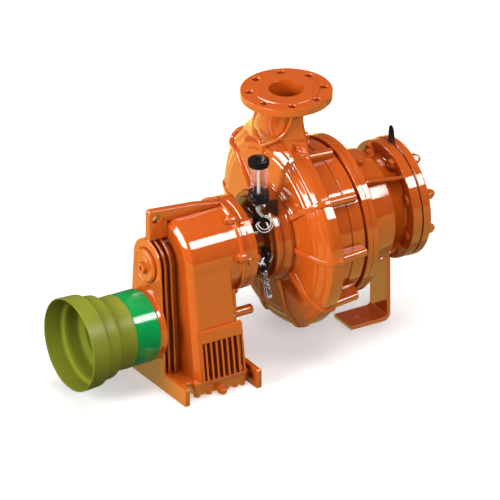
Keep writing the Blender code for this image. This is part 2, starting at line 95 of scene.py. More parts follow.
def rounded(points, steps, radius=0):
    """Closed outline with an arc at each corner; a third number is that corner's own radius."""
    out, n = [], len(points)
    for i in range(n):
        p = Vector(points[i][:2])
        r = points[i][2] if len(points[i]) > 2 else radius
        a, b = Vector(points[i - 1][:2]) - p, Vector(points[(i + 1) % n][:2]) - p
        if r <= 0 or a.length < 1e-6 or b.length < 1e-6:
            out += [tuple(p)] * (1 if r <= 0 else steps + 1)
            continue
        half = a.angle(b, 3.0) / 2
        reach = min(r / max(tan(half), 0.02), 0.48 * a.length, 0.48 * b.length)
        s, e = p + a.normalized() * reach, p + b.normalized() * reach
        for k in range(steps + 1):
            t = k / steps
            out.append(tuple((1 - t) ** 2 * s + 2 * t * (1 - t) * p + t * t * e))
    return out


def revolve(name, profile, n, at=(0, 0, 0), axis="Y", turn=0.0):
    """Closed body turned from (radius, height along the axis) points, with n sides."""
    bm = bmesh.new()
    rings = []
    for r, a in profile:
        ring = []
        for i in range(1 if r < 1e-6 else n):
            t = radians(turn) + 2 * pi * i / n
            u, v = r * cos(t), r * sin(t)
            p = {"X": (a, u, v), "Y": (u, a, v), "Z": (u, v, a)}[axis]
            ring.append(bm.verts.new(place(p[0] + at[0], p[1] + at[1], p[2] + at[2])))
        rings.append(ring)
    for k, ring in enumerate(rings):
        nxt = rings[(k + 1) % len(rings)]
        if len(ring) == 1 and len(nxt) == 1:
            continue
        for i in range(n):
            j = (i + 1) % n
            quad = [ring[i % len(ring)], ring[j % len(ring)], nxt[j % len(nxt)], nxt[i % len(nxt)]]
            face = list(dict.fromkeys(quad))
            if len(face) > 2:
                bm.faces.new(face)
    return mesh_object(name, bm)


def lathe(name, points, steps, n, at=(0, 0, 0), axis="Y"):
    """Solid turned body: the points' line has rounded corners and is closed to the axis at both ends."""
    profile = [(0, points[0][1]), *points, (0, points[-1][1])]
    return revolve(name, rounded(profile, steps), n, at, axis)


def hollow(name, points, steps, n, at=(0, 0, 0), axis="Y"):
    """Turned ring whose profile has rounded corners."""
    return revolve(name, rounded(points, steps), n, at, axis)


def loft(name, sections):
    """Closed body through outlines with the same number of points."""
    bm = bmesh.new()
    loops = [[bm.verts.new(place(*p)) for p in sec] for sec in sections]
    n = len(loops[0])
    for one, two in zip(loops, loops[1:]):
        for i in range(n):
            j = (i + 1) % n
            bm.faces.new((one[i], one[j], two[j], two[i]))
    bm.faces.new(loops[0][::-1])
    bm.faces.new(loops[-1])
    return mesh_object(name, bm)


def prism(name, outline, a, b, axis="Y"):
    """Outline drawn out along an axis from a to b."""
    def point(uv, w):
        u, v = uv[:2]
        return {"X": (w, u, v), "Y": (u, w, v), "Z": (u, v, w)}[axis]
    return loft(name, [[point(p, a) for p in outline], [point(p, b) for p in outline]])


def block(name, x0, x1, y0, y1, z0, z1):
    return prism(name, [(x0, y0), (x1, y0), (x1, y1), (x0, y1)], z0, z1, "Z")


def arc(cx, cz, r, a0, a1, n):
    angles = [radians(a0 + (a1 - a0) * i / n) for i in range(n + 1)]
    return [(cx + r * cos(a), cz + r * sin(a)) for a in angles]


def oblong(x, low, high, inset, radius, steps):
    """Rounded rectangle from -x to x, drawn in by the inset."""
    return rounded([(-x + inset, low + inset), (x - inset, low + inset), (x - inset, high - inset),
                    (-x + inset, high - inset)], steps, radius)


def hexagon(r, turn=0.0, at=(0, 0)):
    return [(at[0] + r * cos(radians(60 * k + turn)), at[1] + r * sin(radians(60 * k + turn)))
            for k in range(6)]


def round_the_shaft(angles, r, y):
    return [(r * cos(radians(d)), y, r * sin(radians(d))) for d in angles]


def turned(points, deg):
    """Radial side view points (r, y) and half width w to X, Y, Z at an angle round the shaft."""
    c, s = cos(radians(deg)), sin(radians(deg))
    return [(r * c - w * s, y, r * s + w * c) for r, y, w in points]


def smooth_rows(rows, per):
    """Rows of numbers joined by a Catmull-Rom curve."""
    out = []
    for i in range(len(rows) - 1):
        p0, p1, p2, p3 = (rows[max(i - 1, 0)], rows[i], rows[i + 1], rows[min(i + 2, len(rows) - 1)])
        for k in range(per):
            t = k / per
            out.append([0.5 * (2 * b + (c - a) * t + (2 * a - 5 * b + 4 * c - d) * t * t
                               + (3 * b - a - 3 * c + d) * t ** 3) for a, b, c, d in zip(p0, p1, p2, p3)])
    out.append(list(rows[-1]))
    return out


def settle(ob):
    """Applies what the object's modifiers make to its mesh."""
    graph = bpy.context.evaluated_depsgraph_get()
    graph.update()
    mesh = bpy.data.meshes.new_from_object(ob.evaluated_get(graph), depsgraph=graph)
    ob.modifiers.clear()
    ob.data = mesh
    return ob


def soft_edges(ob, width, segments=3, angle=35):
    mod = ob.modifiers.new("edges", "BEVEL")
    mod.width, mod.segments = width / 1000, segments
    mod.limit_method, mod.angle_limit = "ANGLE", radians(angle)
    mod.use_clamp_overlap = True
    return settle(ob)


def combine(ob, operation, others):
    for other in others:
        mod = ob.modifiers.new("join", "BOOLEAN")
        mod.operation, mod.solver, mod.object = operation, "MANIFOLD", other
    settle(ob)
    for other in others:
        bpy.data.objects.remove(other)
    return ob


def fuse(ob, *others):
    return combine(ob, "UNION", others)


def carve(ob, *others):
    return combine(ob, "DIFFERENCE", others)


def gather(name, *obs):
    """One mesh from several separate shells."""
    bm = bmesh.new()
    for ob in obs:
        bm.from_mesh(ob.data)
        bpy.data.objects.remove(ob)
    return mesh_object(name, bm, clean=False)


def shade(ob, angle=32):
    """Smooth faces that meet below the angle, with evened normals."""
    ob.data.shade_smooth()
    ob.data.set_sharp_from_angle(angle=radians(angle))
    mod = ob.modifiers.new("even", "WEIGHTED_NORMAL")
    mod.keep_sharp, mod.weight = True, 60
    return settle(ob)


def finished(ob, finish, slot, *nodes, angle=32):
    """Gives a piece its material, lets it stand for its nodes and rides it; the slot is not used."""
    if finish is not None:
        shade(ob, angle)
        ob.data.materials.clear()
        ob.data.materials.append(finish)
    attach(ob, "root")
    if nodes:
        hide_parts(*nodes)
    return ob


# node trees

class Wire:
    """An output socket that adds Math nodes when it is used in an expression."""
    def __init__(self, tree, socket):
        self.tree, self.socket = tree, socket

    def _math(self, operation, *values):
        return put(self.tree, "ShaderNodeMath", {"operation": operation}, dict(enumerate(values)))

    def __add__(self, other):
        return self._math("ADD", self, other)

    def __sub__(self, other):
        return self._math("SUBTRACT", self, other)

    def __rsub__(self, other):
        return self._math("SUBTRACT", other, self)

    def __mul__(self, other):
        return self._math("MULTIPLY", self, other)

    def __truediv__(self, other):
        return self._math("DIVIDE", self, other)

    def above(self, edge, width):
        """0 below the edge, 1 above it, over that width."""
        slope = (self - (edge - width / 2)) / width
        return self._math("MINIMUM", self._math("MAXIMUM", slope, 0.0), 1.0)


def put(tree, kind, settings=None, sockets=None, out=0):
    """One node: its settings first, then the values or links of its sockets."""
    node = tree.nodes.new(kind)
    for key, value in (settings or {}).items():
        setattr(node, key, value)
    for key, value in (sockets or {}).items():
        socket = node.inputs[key]
        if isinstance(value, Wire):
            tree.links.new(value.socket, socket)
        else:
            socket.default_value = value
    return Wire(tree, node.outputs[out]) if node.outputs else None


def new_finish(name):
    """An empty material, its tree and a wire with the object's own coordinates."""
    mat = bpy.data.materials.new(name)
    mat.use_nodes = True
    tree = mat.node_tree
    tree.nodes.clear()
    here = put(tree, "ShaderNodeTexCoord", out="Object")
    return mat, tree, here


def surface(mat, tree, sockets):
    shader = put(tree, "ShaderNodeBsdfPrincipled", None, sockets)
    put(tree, "ShaderNodeOutputMaterial", None, {"Surface": shader})
    return mat


def noise(tree, here, scale, detail, rough=0.5):
    return put(tree, "ShaderNodeTexNoise", {"noise_dimensions": "3D"},
               {"Vector": here, "Scale": scale, "Detail": detail, "Roughness": rough})


def mixed(tree, factor, one, two):
    """Colour between two colours, either of them a wire or three numbers."""
    def full(c):
        return c if isinstance(c, Wire) else (*c, 1.0)
    return put(tree, "ShaderNodeMix", {"data_type": "RGBA"}, {0: factor, 6: full(one), 7: full(two)}, out=2)


def relief(tree, height, depth, edge, strength=0.6):
    """Normal from a height, on edges eased by that radius in metres."""
    eased_edge = put(tree, "ShaderNodeBevel", {"samples": 4}, {"Radius": edge})
    return put(tree, "ShaderNodeBump", None, {
        "Height": height, "Distance": depth, "Strength": strength, "Normal": eased_edge})


OPEN_SHARE, OPEN_WIDTH = 0.47, 0.74  # share of open sky round a point where the painted shade of recesses fades out, and the width of that fade
PAINTED_SHADE_SHARE = (0.30, 0.20, 0.16)  # share of each colour left in the painted shade of recesses


def enamel(name, colour, deep, cast=0.8, rough=0.055, painted_shade_depth=0.8):
    """Glossy sprayed enamel over a casting: faint orange peel, sand-cast unevenness, and painted shade that
    darkens it in recesses.
    """
    mat, tree, here = new_finish(name)
    tone = noise(tree, here, 9.0, 4.0)
    grain = noise(tree, here, 46.0, 4.0)
    peel = noise(tree, here, 520.0, 2.0)
    cloud = (tone * 0.6 + grain * 0.4).above(0.5, 0.34)
    open_air = put(tree, "ShaderNodeAmbientOcclusion", {"samples": 6}, {"Distance": 0.07}, out=1)
    # painted shade: the less open sky round a point, the more its colour is drawn to a darker one
    recess = (1.0 - open_air.above(OPEN_SHARE, OPEN_WIDTH)) * painted_shade_depth
    painted_shade_colour = tuple(c * k for c, k in zip(deep, PAINTED_SHADE_SHARE))
    height = grain * (0.55 * cast) + peel * 0.12 + noise(tree, here, 150.0, 3.0) * (0.25 * cast)
    return surface(mat, tree, {
        "Base Color": mixed(tree, recess, mixed(tree, cloud, deep, colour), painted_shade_colour),
        "Roughness": peel * 0.03 + cloud * 0.03 + (rough - 0.03),
        "Specular IOR Level": 0.55,
        "Normal": relief(tree, height, 0.00016, 0.0018),
    })


# Each enamel paints shade into its recesses: the cast orange fully, the machined faces less, and the foot and
# sump pan by the floor least.
ORANGE = enamel("orange_enamel", (0.71, 0.124, 0.012), (0.66, 0.108, 0.010))
SMOOTH_ORANGE = enamel("machined_enamel", (0.71, 0.138, 0.013), (0.67, 0.122, 0.011), 0.25, 0.06, 0.6)
LESS_SHADE_ORANGE = enamel("open_enamel", (0.71, 0.124, 0.012), (0.66, 0.108, 0.010), painted_shade_depth=0.25)
# Darker copies of the orange enamel that paint shade onto parts lying in shadow: the seal ring and the front
# cover's fins, and, darker still, the lantern neck.
SHADED = enamel("shaded_enamel", (0.50, 0.084, 0.008), (0.41, 0.066, 0.006), rough=0.08)
DEEP_SHADE_ORANGE = enamel("sheltered_enamel", (0.27, 0.052, 0.006), (0.17, 0.032, 0.004), rough=0.16)


SCUFFED = (0.6, 0.62, 0.55)


def moulded(name, colour, deep, rough, wear=0.4, shine=0.5):
    """Moulded plastic or rubber with a fine grain and a few pale scuffs."""
    mat, tree, here = new_finish(name)
    tone = noise(tree, here, 14.0, 4.0)
    fine = noise(tree, here, 700.0, 2.0)
    scuff = noise(tree, here, 120.0, 5.0, 0.7).above(0.66, 0.1)
    return surface(mat, tree, {
        "Base Color": mixed(tree, scuff * 0.12 * wear, mixed(tree, tone.above(0.5, 0.4), deep, colour), SCUFFED),
        "Roughness": fine * 0.08 + scuff * 0.15 * wear + (rough - 0.04),
        "Specular IOR Level": shine,
        "Normal": relief(tree, fine * 0.5 + tone, 0.00022, 0.0012),
    })


OLIVE = moulded("olive_guard_plastic", (0.29, 0.325, 0.030), (0.24, 0.27, 0.024), 0.36, shine=0.14)
GREEN = moulded("green_collar_plastic", (0.0, 0.40, 0.085), (0.0, 0.34, 0.07), 0.10, wear=0.1)
BLACK = moulded("black_moulding", (0.012, 0.012, 0.013), (0.007, 0.007, 0.008), 0.08, wear=0.1, shine=0.35)
RUBBER = moulded("black_gasket_rubber", (0.010, 0.010, 0.010), (0.006, 0.006, 0.006), 0.42, wear=0.1, shine=0.3)
GREY = moulded("grey_fitting_plastic", (0.52, 0.52, 0.50), (0.42, 0.42, 0.41), 0.22)


def metal(name, colour, dark, rough, scale=(1.0, 1.0, 1.0), lines=0.3):
    """Bare or plated metal; scale draws its fine lines out across one axis."""
    mat, tree, here = new_finish(name)
    drawn = put(tree, "ShaderNodeMapping", None, {"Vector": here, "Scale": scale})
    streak = noise(tree, drawn, 320.0, 4.0)
    tone = noise(tree, here, 40.0, 4.0)
    return surface(mat, tree, {
        "Base Color": mixed(tree, tone.above(0.5, 0.4), dark, colour),
        "Metallic": 1.0,
        "Roughness": streak * 0.14 + (rough - 0.07),
        "Normal": relief(tree, streak, 0.00008, 0.0008, lines),
    })


STEEL = metal("bright_turned_steel", (0.62, 0.62, 0.61), (0.44, 0.44, 0.44), 0.3, (1.0, 12.0, 1.0))
DARK_STEEL = metal("dark_coated_sheet", (0.10, 0.09, 0.08), (0.05, 0.045, 0.04), 0.38)
CHROME = metal("plated_fitting", (0.80, 0.80, 0.80), (0.60, 0.60, 0.61), 0.12, lines=0.15)
IRON = metal("cast_iron_bare", (0.20, 0.19, 0.18), (0.11, 0.10, 0.095), 0.5)


def clear(name, tint, rough):
    """Thin clear wall, mostly seen through."""
    mat, tree, here = new_finish(name)
    haze = noise(tree, here, 60.0, 3.0)
    return surface(mat, tree, {
        "Base Color": mixed(tree, haze, tint, (0.95, 0.97, 0.96)),
        "Roughness": haze * 0.04 + rough,
        "IOR": 1.47,
        "Transmission Weight": 1.0,
        "Alpha": haze * 0.06 + 0.15,
    })


GLASS = clear("reservoir_glass_clear", (0.88, 0.92, 0.90), 0.02)
HOSE = moulded("thin_clear_hose", (0.80, 0.80, 0.76), (0.66, 0.66, 0.62), 0.12, wear=0.1)


# layouts of what repeats

def new_layout(name, sizes):
    """A geometry tree with named inputs; returns the tree and its input wires by name."""
    tree = bpy.data.node_groups.new(name, "GeometryNodeTree")
    tree.interface.new_socket("Geometry", in_out="INPUT", socket_type="NodeSocketGeometry")
    for label, kind, value in sizes:
        socket = tree.interface.new_socket(label, in_out="INPUT", socket_type="NodeSocket" + kind)
        if value is not None:
            socket.default_value = value
    tree.interface.new_socket("Geometry", in_out="OUTPUT", socket_type="NodeSocketGeometry")
    start = tree.nodes.new("NodeGroupInput")
    return tree, {s.name: Wire(tree, s) for s in start.outputs if s.name}


def close_layout(tree, geometry, take):
    real = put(tree, "GeometryNodeRealizeInstances", None, {"Geometry": geometry})
    done = put(tree, "GeometryNodeSetMaterial", None, {"Geometry": real, "Material": take["Finish"]})
    put(tree, "NodeGroupOutput", None, {0: done})


PART, FINISH = ("Part", "Object", None), ("Finish", "Material", None)


def repeated(tree, take, mesh, **more):
    """The part at each vertex of a mesh."""
    part = put(tree, "GeometryNodeObjectInfo", {"transform_space": "ORIGINAL"}, {"Object": take["Part"]},
               out="Geometry")
    spots = put(tree, "GeometryNodeMeshToPoints", {"mode": "VERTICES"}, {"Mesh": mesh})
    return put(tree, "GeometryNodeInstanceOnPoints", None, {"Points": spots, "Instance": part, **more})


def marks_layout():
    """A part at each point of the carrying mesh, all turned one way."""
    tree, take = new_layout("parts_on_marks", [PART, ("Turn", "Rotation", None), ("Size", "Float", 1.0), FINISH])
    placed = repeated(tree, take, take["Geometry"], Rotation=take["Turn"], Scale=take["Size"])
    close_layout(tree, placed, take)
    return tree


def circle_layout():
    """A part repeated round a circle about a centre, its own top along the axis."""
    tree, take = new_layout("parts_round_circle", [
        PART, ("Count", "Int", 8), ("Circle", "Float", 0.1), ("First", "Float", 0.0),
        ("Centre", "Vector", (0.0, 0.0, 0.0)), ("Turn", "Vector", (0.0, 0.0, 0.0)), FINISH])
    ring = put(tree, "GeometryNodeMeshCircle", None, {"Vertices": take["Count"], "Radius": take["Circle"]})
    number = put(tree, "GeometryNodeInputIndex")
    spin = put(tree, "ShaderNodeCombineXYZ", None, {"Z": number * (2 * pi) / take["Count"]})
    placed = repeated(tree, take, ring, Rotation=spin)
    lead = put(tree, "ShaderNodeCombineXYZ", None, {"Z": take["First"]})
    first = put(tree, "GeometryNodeTransform", None, {"Geometry": placed, "Rotation": lead})
    laid = put(tree, "GeometryNodeTransform", None, {
        "Geometry": first, "Translation": take["Centre"], "Rotation": take["Turn"]})
    close_layout(tree, laid, take)
    return tree


def row_layout():
    """A part repeated along a straight row."""
    tree, take = new_layout("parts_in_row", [
        PART, ("Count", "Int", 8), ("Start", "Vector", (0.0, 0.0, 0.0)), ("Step", "Vector", (0.01, 0.0, 0.0)),
        FINISH])
    line = put(tree, "GeometryNodeMeshLine", {"mode": "OFFSET"}, {
        "Count": take["Count"], "Start Location": take["Start"], "Offset": take["Step"]})
    close_layout(tree, repeated(tree, take, line), take)
    return tree


def pipe_layout():
    """A round pipe along the carrying edges, smoothed to an even curve."""
    tree, take = new_layout("pipe_on_path", [
        ("Radius", "Float", 0.003), ("Sides", "Int", 12), FINISH])
    path = put(tree, "GeometryNodeMeshToCurve", None, {"Mesh": take["Geometry"]})
    kind = put(tree, "GeometryNodeCurveSplineType", {"spline_type": "CATMULL_ROM"}, {"Curve": path})
    fine = put(tree, "GeometryNodeSetSplineResolution", None, {"Geometry": kind, "Resolution": 8})
    round_ = put(tree, "GeometryNodeCurvePrimitiveCircle", None, {
        "Resolution": take["Sides"], "Radius": take["Radius"]})
    body = put(tree, "GeometryNodeCurveToMesh", None, {
        "Curve": fine, "Profile Curve": round_, "Fill Caps": True})
    even = put(tree, "GeometryNodeSetShadeSmooth", None, {"Geometry": body})
    close_layout(tree, even, take)
    return tree


ON_MARKS, ROUND_CIRCLE, IN_ROW, ON_PATH = marks_layout(), circle_layout(), row_layout(), pipe_layout()
TO_MINUS_Y, TO_PLUS_Y = (pi / 2, 0.0, 0.0), (-pi / 2, 0.0, 0.0)  # where a part's top points


def laid_out(name, layout, values, points=(), edges=()):
    """Runs a layout over points in millimetres and keeps the result as a plain mesh."""
    mesh = bpy.data.meshes.new(name)
    mesh.from_pydata([place(*p) for p in points], list(edges), [])
    ob = added(name, mesh)
    mod = ob.modifiers.new("layout", "NODES")
    mod.node_group = layout
    for item in layout.interface.items_tree:
        if item.item_type == "SOCKET" and item.in_out == "INPUT" and item.name in values:
            mod[item.identifier] = values[item.name]
    return settle(ob)


def screws(name, part, points, turn, *nodes, finish=ORANGE, size=1.0):
    """A finished piece: one part at each point, all turned one way."""
    ob = laid_out(name, ON_MARKS, {"Part": part, "Turn": turn, "Size": size, "Finish": finish}, points)
    return finished(ob, None, "orange_paint", *nodes)


def pipe(name, points, radius, finish, sides=12):
    return laid_out(name, ON_PATH, {"Radius": radius / 1000, "Sides": sides, "Finish": finish}, points,
                    [(i, i + 1) for i in range(len(points) - 1)])


def own_shape(name, ob):
    """Moves a part drawn at the shaft axis to the origin, ready to be repeated, and hides it."""
    ob.data.transform(Matrix.Translation(-place(0, 0, 0)))
    ob.name = name
    ob.hide_render = True
    ob["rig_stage"] = True
    return shade(ob)


def hex_head(name, across, height, washer, recess=False):
    """Chamfered hexagon head, standing on Z = 0 with its top along +Z."""
    r = across / sqrt(3)
    body = prism(name, hexagon(r), 0.0, height, "Z")
    cone = [(0, -1), (r * 1.2, -1), (r * 1.04, height - r * 0.16), (r * 0.86, height), (0, height)]
    combine(body, "INTERSECT", [revolve("chamfer", cone, 24, axis="Z")])
    soft_edges(body, 0.5, 2, 25)
    if recess:
        bowl = [(0, height - 1.2), (r * 0.45, height - 1.2), (r * 0.6, height + 1), (0, height + 1)]
        carve(body, revolve("dimple", bowl, 20, axis="Z"))
    if washer:
        body = gather(name, body, revolve("washer", rounded(
            [(0, 0), (washer, 0, 0.4), (washer, 2.0, 0.6), (0, 2.0)], 2), 32, axis="Z"))
    return own_shape(name, body)


# fasteners that many pieces share
NUT = prism("nut", hexagon(14.4), 0.0, 20.0, "Z")
combine(NUT, "INTERSECT", [revolve("nut_chamfer", [(0, -1), (17, -1), (14.6, 15.4), (11.4, 20), (0, 20)], 24,
    axis="Z")])
STUD_END = lathe("stud_end", [(9.4, 18), (9.0, 24.5, 2.2), (5.5, 27.4, 1.5)], 4, 28, axis="Z")
NUT = own_shape("stud_and_nut", gather("stud_and_nut", soft_edges(NUT, 1.0, 3, 25), STUD_END))
HEX_18 = hex_head("hex_head_18", 17.0, 9.0, 11.0)
HEX_24 = hex_head("hex_head_24", 22.5, 12.0, 0.0, True)
HEX_12 = hex_head("hex_head_12", 11.5, 6.0, 7.5)


# spiral casing

def spiral_radius(deg):
    """Reach of the casing in the direction of an angle, read off the photographed outline."""
    knots = [(0, 224), (42, 206), (64, 208), (78, 219), (92, 223), (103, 229), (118, 248), (130, 260),
        (141, 266), (156, 271), (180, 275), (215, 277), (236, 274), (249, 270), (257, 265), (265, 257),
        (274, 250), (284, 250), (294, 245.5), (305, 237), (315, 233.5), (334, 231), (360, 224)]
    deg = deg % 360
    for (a, ra), (b, rb) in zip(knots, knots[1:]):
        if a <= deg <= b:
            return ra + (rb - ra) * (deg - a) / (b - a)
    return 224.0


def even_radius(deg):
    """Spiral radius with the knots' corners eased."""
    return sum(spiral_radius(deg + d) for d in (-9, -6, -3, 0, 3, 6, 9)) / 7


def dome_section(deg):
    """Hub edge, flat face, two rounded shoulders and the rim."""
    r = even_radius(deg)
    t = r - HUB_R
    def at(f, y, corner):
        return (HUB_R + f * t, y, corner)
    return rounded([(60, -43), (HUB_R + 5, -43, 1.5), (HUB_R + 7, -40.6, 2), at(0.62, -33.5, 2),
        at(0.65, -31.2, 2), at(0.735, -28.6, 4), at(0.825, -19.6, 2), at(0.84, -19.0, 1.5), at(0.895, -16.6, 4),
        at(0.985, -7.6, 5), (r, 2, 4), (r, 12, 4), (r, RIM_Y - 1.5, 1.5), (r - 1.6, RIM_Y, 0.5), (60, RIM_Y)],
        4)


def inside_section(deg):
    r = max(even_radius(deg) - 13, 176)
    return [(130, -11), (r - 8, 4), (r, 10), (r, 17.5), (130, 17.5)]


def ring_body(name, section, n):
    """Closed ring about the shaft whose section changes with the angle."""
    bm = bmesh.new()
    rings = []
    for i in range(n):
        deg = 360.0 * i / n
        t = radians(deg)
        rings.append([bm.verts.new(place(r * cos(t), y, r * sin(t))) for r, y in section(deg)])
    m = len(rings[0])
    for i in range(n):
        one, two = rings[i], rings[(i + 1) % n]
        for k in range(m - 1):
            bm.faces.new((one[k], one[k + 1], two[k + 1], two[k]))
    bm.faces.new([ring[0] for ring in rings])
    bm.faces.new([ring[-1] for ring in rings][::-1])
    return mesh_object(name, bm)


# height, centre (x, y) and half widths (x, y) of the oval sections of the leaning neck and its bore
NECK_ROWS = [(352, 0, 0, 57, 57), (340, -3, 0, 57, 57), (318, -12, 0, 56, 56), (298, -22, -1, 57, 55),
    (278, -32, -3, 61, 53), (256, -43, -3, 74, 49), (232, -56, 0, 88, 41), (205, -72, 4, 106, 32),
    (172, -84, 6, 124, 24), (132, -96, 8, 140, 18)]
# height, front right corner (x, y) and rear right corner x of the flat flank beside the neck
FLANK_ROWS = [(318, 34, -22, 39), (300, 36, -17, 36), (284, 35, -17, 37.5), (268, 31, -27, 43.5),
    (252, 22, -37, 50.5), (240, 8, -33, 55.5), (230, 0, -19, 59), (222, 4, -6, 62), (208, 20, 4, 66.5),
    (190, 20, 8, 70)]
BORE_ROWS = [(378, 0, 0, 43, 43), (340, -3, 0, 43, 43), (312, -15, 0, 42, 42), (280, -31, -2, 44, 40),
    (250, -42, -1, 62, 34), (205, -72, 4, 82, 20), (121, -112, 5, 94, 11)]


def oval(row, n):
    z, cx, cy, ax, ay = row
    return [(cx + ax * cos(2 * pi * i / n), cy + ay * sin(2 * pi * i / n), z) for i in range(n)]


# half width and height of the drafted section of the ribs on the dome
RIB_SECTION = [(-9.4, -11), (-8, -5.4), (-7.2, -2.6), (-5.8, -0.8), (-3.8, 0), (3.8, 0), (5.8, -0.8),
    (7.2, -2.6), (8, -5.4), (9.4, -11)]


def radial_rib(name, path, deg):
    """Cast rib along (r, y) points of a radial plane, its drafted section square to the path."""
    line = [Vector(p) for p in smooth_rows(path, 3)]
    rows = []
    for i, p in enumerate(line):
        way = (line[min(i + 1, len(line) - 1)] - line[max(i - 1, 0)]).normalized()
        out = Vector((way.y, -way.x))
        rows.append(turned([(*(p + out * d), w) for w, d in RIB_SECTION], deg))
    return loft(name, rows)


def surface_rib(name, path, centre, section):
    """Rib along points in space; centre gives the point that its section turns its back to."""
    line = [Vector(p) for p in smooth_rows(path, 4)]
    rows = []
    for i, p in enumerate(line):
        way = (line[min(i + 1, len(line) - 1)] - line[max(i - 1, 0)]).normalized()
        out = p - Vector(centre(p))
        out = (out - way * out.dot(way)).normalized()
        side = way.cross(out)
        rows.append([tuple(p + side * w + out * d) for w, d in section])
    return loft(name, rows)


RIBS = (76, 38, -1, -40, -76, -108, -144, 180, 144, 108)  # angles of the ribs and lugs round the shaft
BESIDE_NECK, UNDER_NECK = (144, 108), 144  # ribs that stop at the neck, and the one that it covers


def ribs_and_lugs():
    out = []
    for deg in RIBS:
        reach = even_radius(deg)
        t = reach - HUB_R
        path = [(HUB_R - 4, -50), (HUB_R + 8, -50.5), (HUB_R + 0.3 * t, -45)]
        if deg in BESIDE_NECK:
            path += [(HUB_R + 0.55 * t, -39), (HUB_R + 0.7 * t, -33), (HUB_R + 0.84 * t, -24), (reach - 6, -8),
                (reach - 4, 6)]
        else:
            path += [(HUB_R + 0.6 * t, -38), (HUB_R + 0.8 * t, -27), (HUB_R + 0.92 * t, -19.5),
                (reach + 2.5, -9), (reach + 6, 4), (reach + 7, 17), (reach + 5, 25)]
        if deg != UNDER_NECK:
            out.append(radial_rib("rib", path, deg))
        tip = 217 if deg == 108 else min(max(reach, 217), 233)
        rows = []
        for y, r in ((20, tip + 1), (96, tip - 6)):
            half = [(BAND_R - 14, 11.5), (r - 10, 11.5), (r - 5, 10), (r - 1.5, 6)]
            rows.append(turned([(a, y, -w) for a, w in half] + [(r, y, 0)] + [(a, y, w) for a, w in half[::-1]],
                deg))
        out.append(soft_edges(loft("lug", rows), 2.0, 3, 20))
    return out


def neck_ribs():
    """The U-shaped rib on the neck, the rib over the shoulder and the short one at the neck's foot."""
    u_path = [(-63, -34, 322), (-66, -37, 308), (-72.5, -41, 287), (-77.5, -44, 268), (-83.5, -42.5, 250),
        (-85.5, -38, 231), (-84, -31.5, 212), (-74, -29, 199), (-60, -30.5, 198), (-44, -33, 208),
        (-22, -37, 222), (0, -39, 236), (20, -37.5, 251), (31, -27, 265), (35, -17, 281), (38, -12, 297),
        (41, -8, 314)]
    shoulder = [(-92, -47, 74), (-99, -46, 80), (-127, -42.5, 101), (-150, -37.5, 119), (-164, -34, 127),
        (-186, -30, 132), (-210, -22, 127), (-230, -14, 123), (-243, -5, 129), (-241, 4, 144), (-229, 4, 156),
        (-212, 8, 168)]
    ridge = [(-7, -5), (-5.6, -0.6), (-4.6, 1.6), (-2.8, 3.5), (0, 4.3), (2.8, 3.5), (4.6, 1.6), (5.6, -0.6),
        (7, -5)]
    on_neck = surface_rib("neck_rib", u_path, lambda p: (-12 - 0.28 * (318 - p.z), 14, p.z - 12),
        [(0.8 * w, 0.85 * d) for w, d in ridge])
    over_shoulder = surface_rib("shoulder_rib", shoulder, lambda p: (0.93 * p.x, 60, 0.93 * p.z),
        [(1.25 * w, 1.3 * d) for w, d in ridge])
    at_foot = surface_rib("foot_rib", [(-60, -30, 200), (-57, -33, 188), (-51, -38, 170)],
        lambda p: (-20, 60, 150), ridge)
    return on_neck, over_shoulder, at_foot


def casing():
    body = ring_body("spiral_casing", dome_section, 216)
    more = [lathe("band", [(BAND_R, 10), (BAND_R, 68, 1), (BAND_R - 3, 69, 0.6), (BAND_R - 3, 71, 0.6),
        (BAND_R, 72, 1), (BAND_R, 105, 1.5), (BAND_R - 1.5, 106, 1)], 3, 160),
        lathe("hub_seat", [(HUB_R - 2, -45, 2), (HUB_R + 1, -41, 2), (HUB_R + 1, 0)], 3, 128),
        loft("neck", [oval(r, 72) for r in smooth_rows(NECK_ROWS, 4)]), *ribs_and_lugs()]
    more.append(lathe("drain_boss", [(8, -2, 1), (9, -3.5, 1), (14.5, -3.5, 3), (14.5, 44, 3), (11, 48, 2)], 3,
        36, (-107.5, 0, -243)))
    more.append(lathe("flange", [(FLANGE_R, FLANGE_TOP - FLANGE_T, 2.5), (FLANGE_R, FLANGE_TOP - 2, 2.5),
        (FACE_R + 1, FLANGE_TOP - 2, 1), (FACE_R, FLANGE_TOP, 0.6)], 4, 144, axis="Z"))
    flank = []
    for z, x, y, rear in smooth_rows(FLANK_ROWS, 3):
        flank.append([(px, py, z) for px, py in rounded([(x - 34, 24), (x - 34, min(y + 14, 20)), (x, y, 7),
            (rear - 0.4, 21, 3), (rear, RIM_Y + 0.2, 1)], 4, 2)])
    more.append(loft("flank", flank))
    fuse(body, *more, *neck_ribs())
    cuts = [revolve("chamber", [(0, -60), (62, -60), (62, -25), (100, -21), (148, -13), (171, -5), (171, 120),
        (0, 120)], 72, turn=1.7), ring_body("spiral_space", inside_section, 90),
        loft("bore", [oval(r, 60) for r in smooth_rows(BORE_ROWS, 4)])]
    cuts += [revolve("hole", [(0, 336), (9, 336), (9, 366.6), (10.4, 368.4), (10.4, 376), (0, 376)], 28,
        (x, y, 0), "Z") for x, _, y in round_the_shaft(EIGHTHS, 90, 0)]
    carve(body, *cuts)
    return finished(body, ORANGE, "orange_paint", "volute_casing", angle=28)


def seal_ring():
    body = hollow("seal_ring", [(61.7, 3), (61.7, -45.3), (116, -45.3, 1), (118, -48, 2), (117.4, -57, 4),
        (108.5, -71.5, 3), (112.4, -76.5, 1.5), (112.4, -89, 2.5), (109, -92, 1.5), (61.7, -92)], 4, 160)
    pad = soft_edges(block("bracket_pad", 54, 77.8, -86, -72, 78, 93), 1.2)
    back = revolve("back_ring", [(30, -92), (61.9, -92), (61.9, 3), (30, 3)], 96)
    fuse(body, pad)
    body = gather("seal_ring", body, back)
    # darker enamel: painted shade on the seal ring
    return finished(body, SHADED, "orange_paint", "seal_housing")


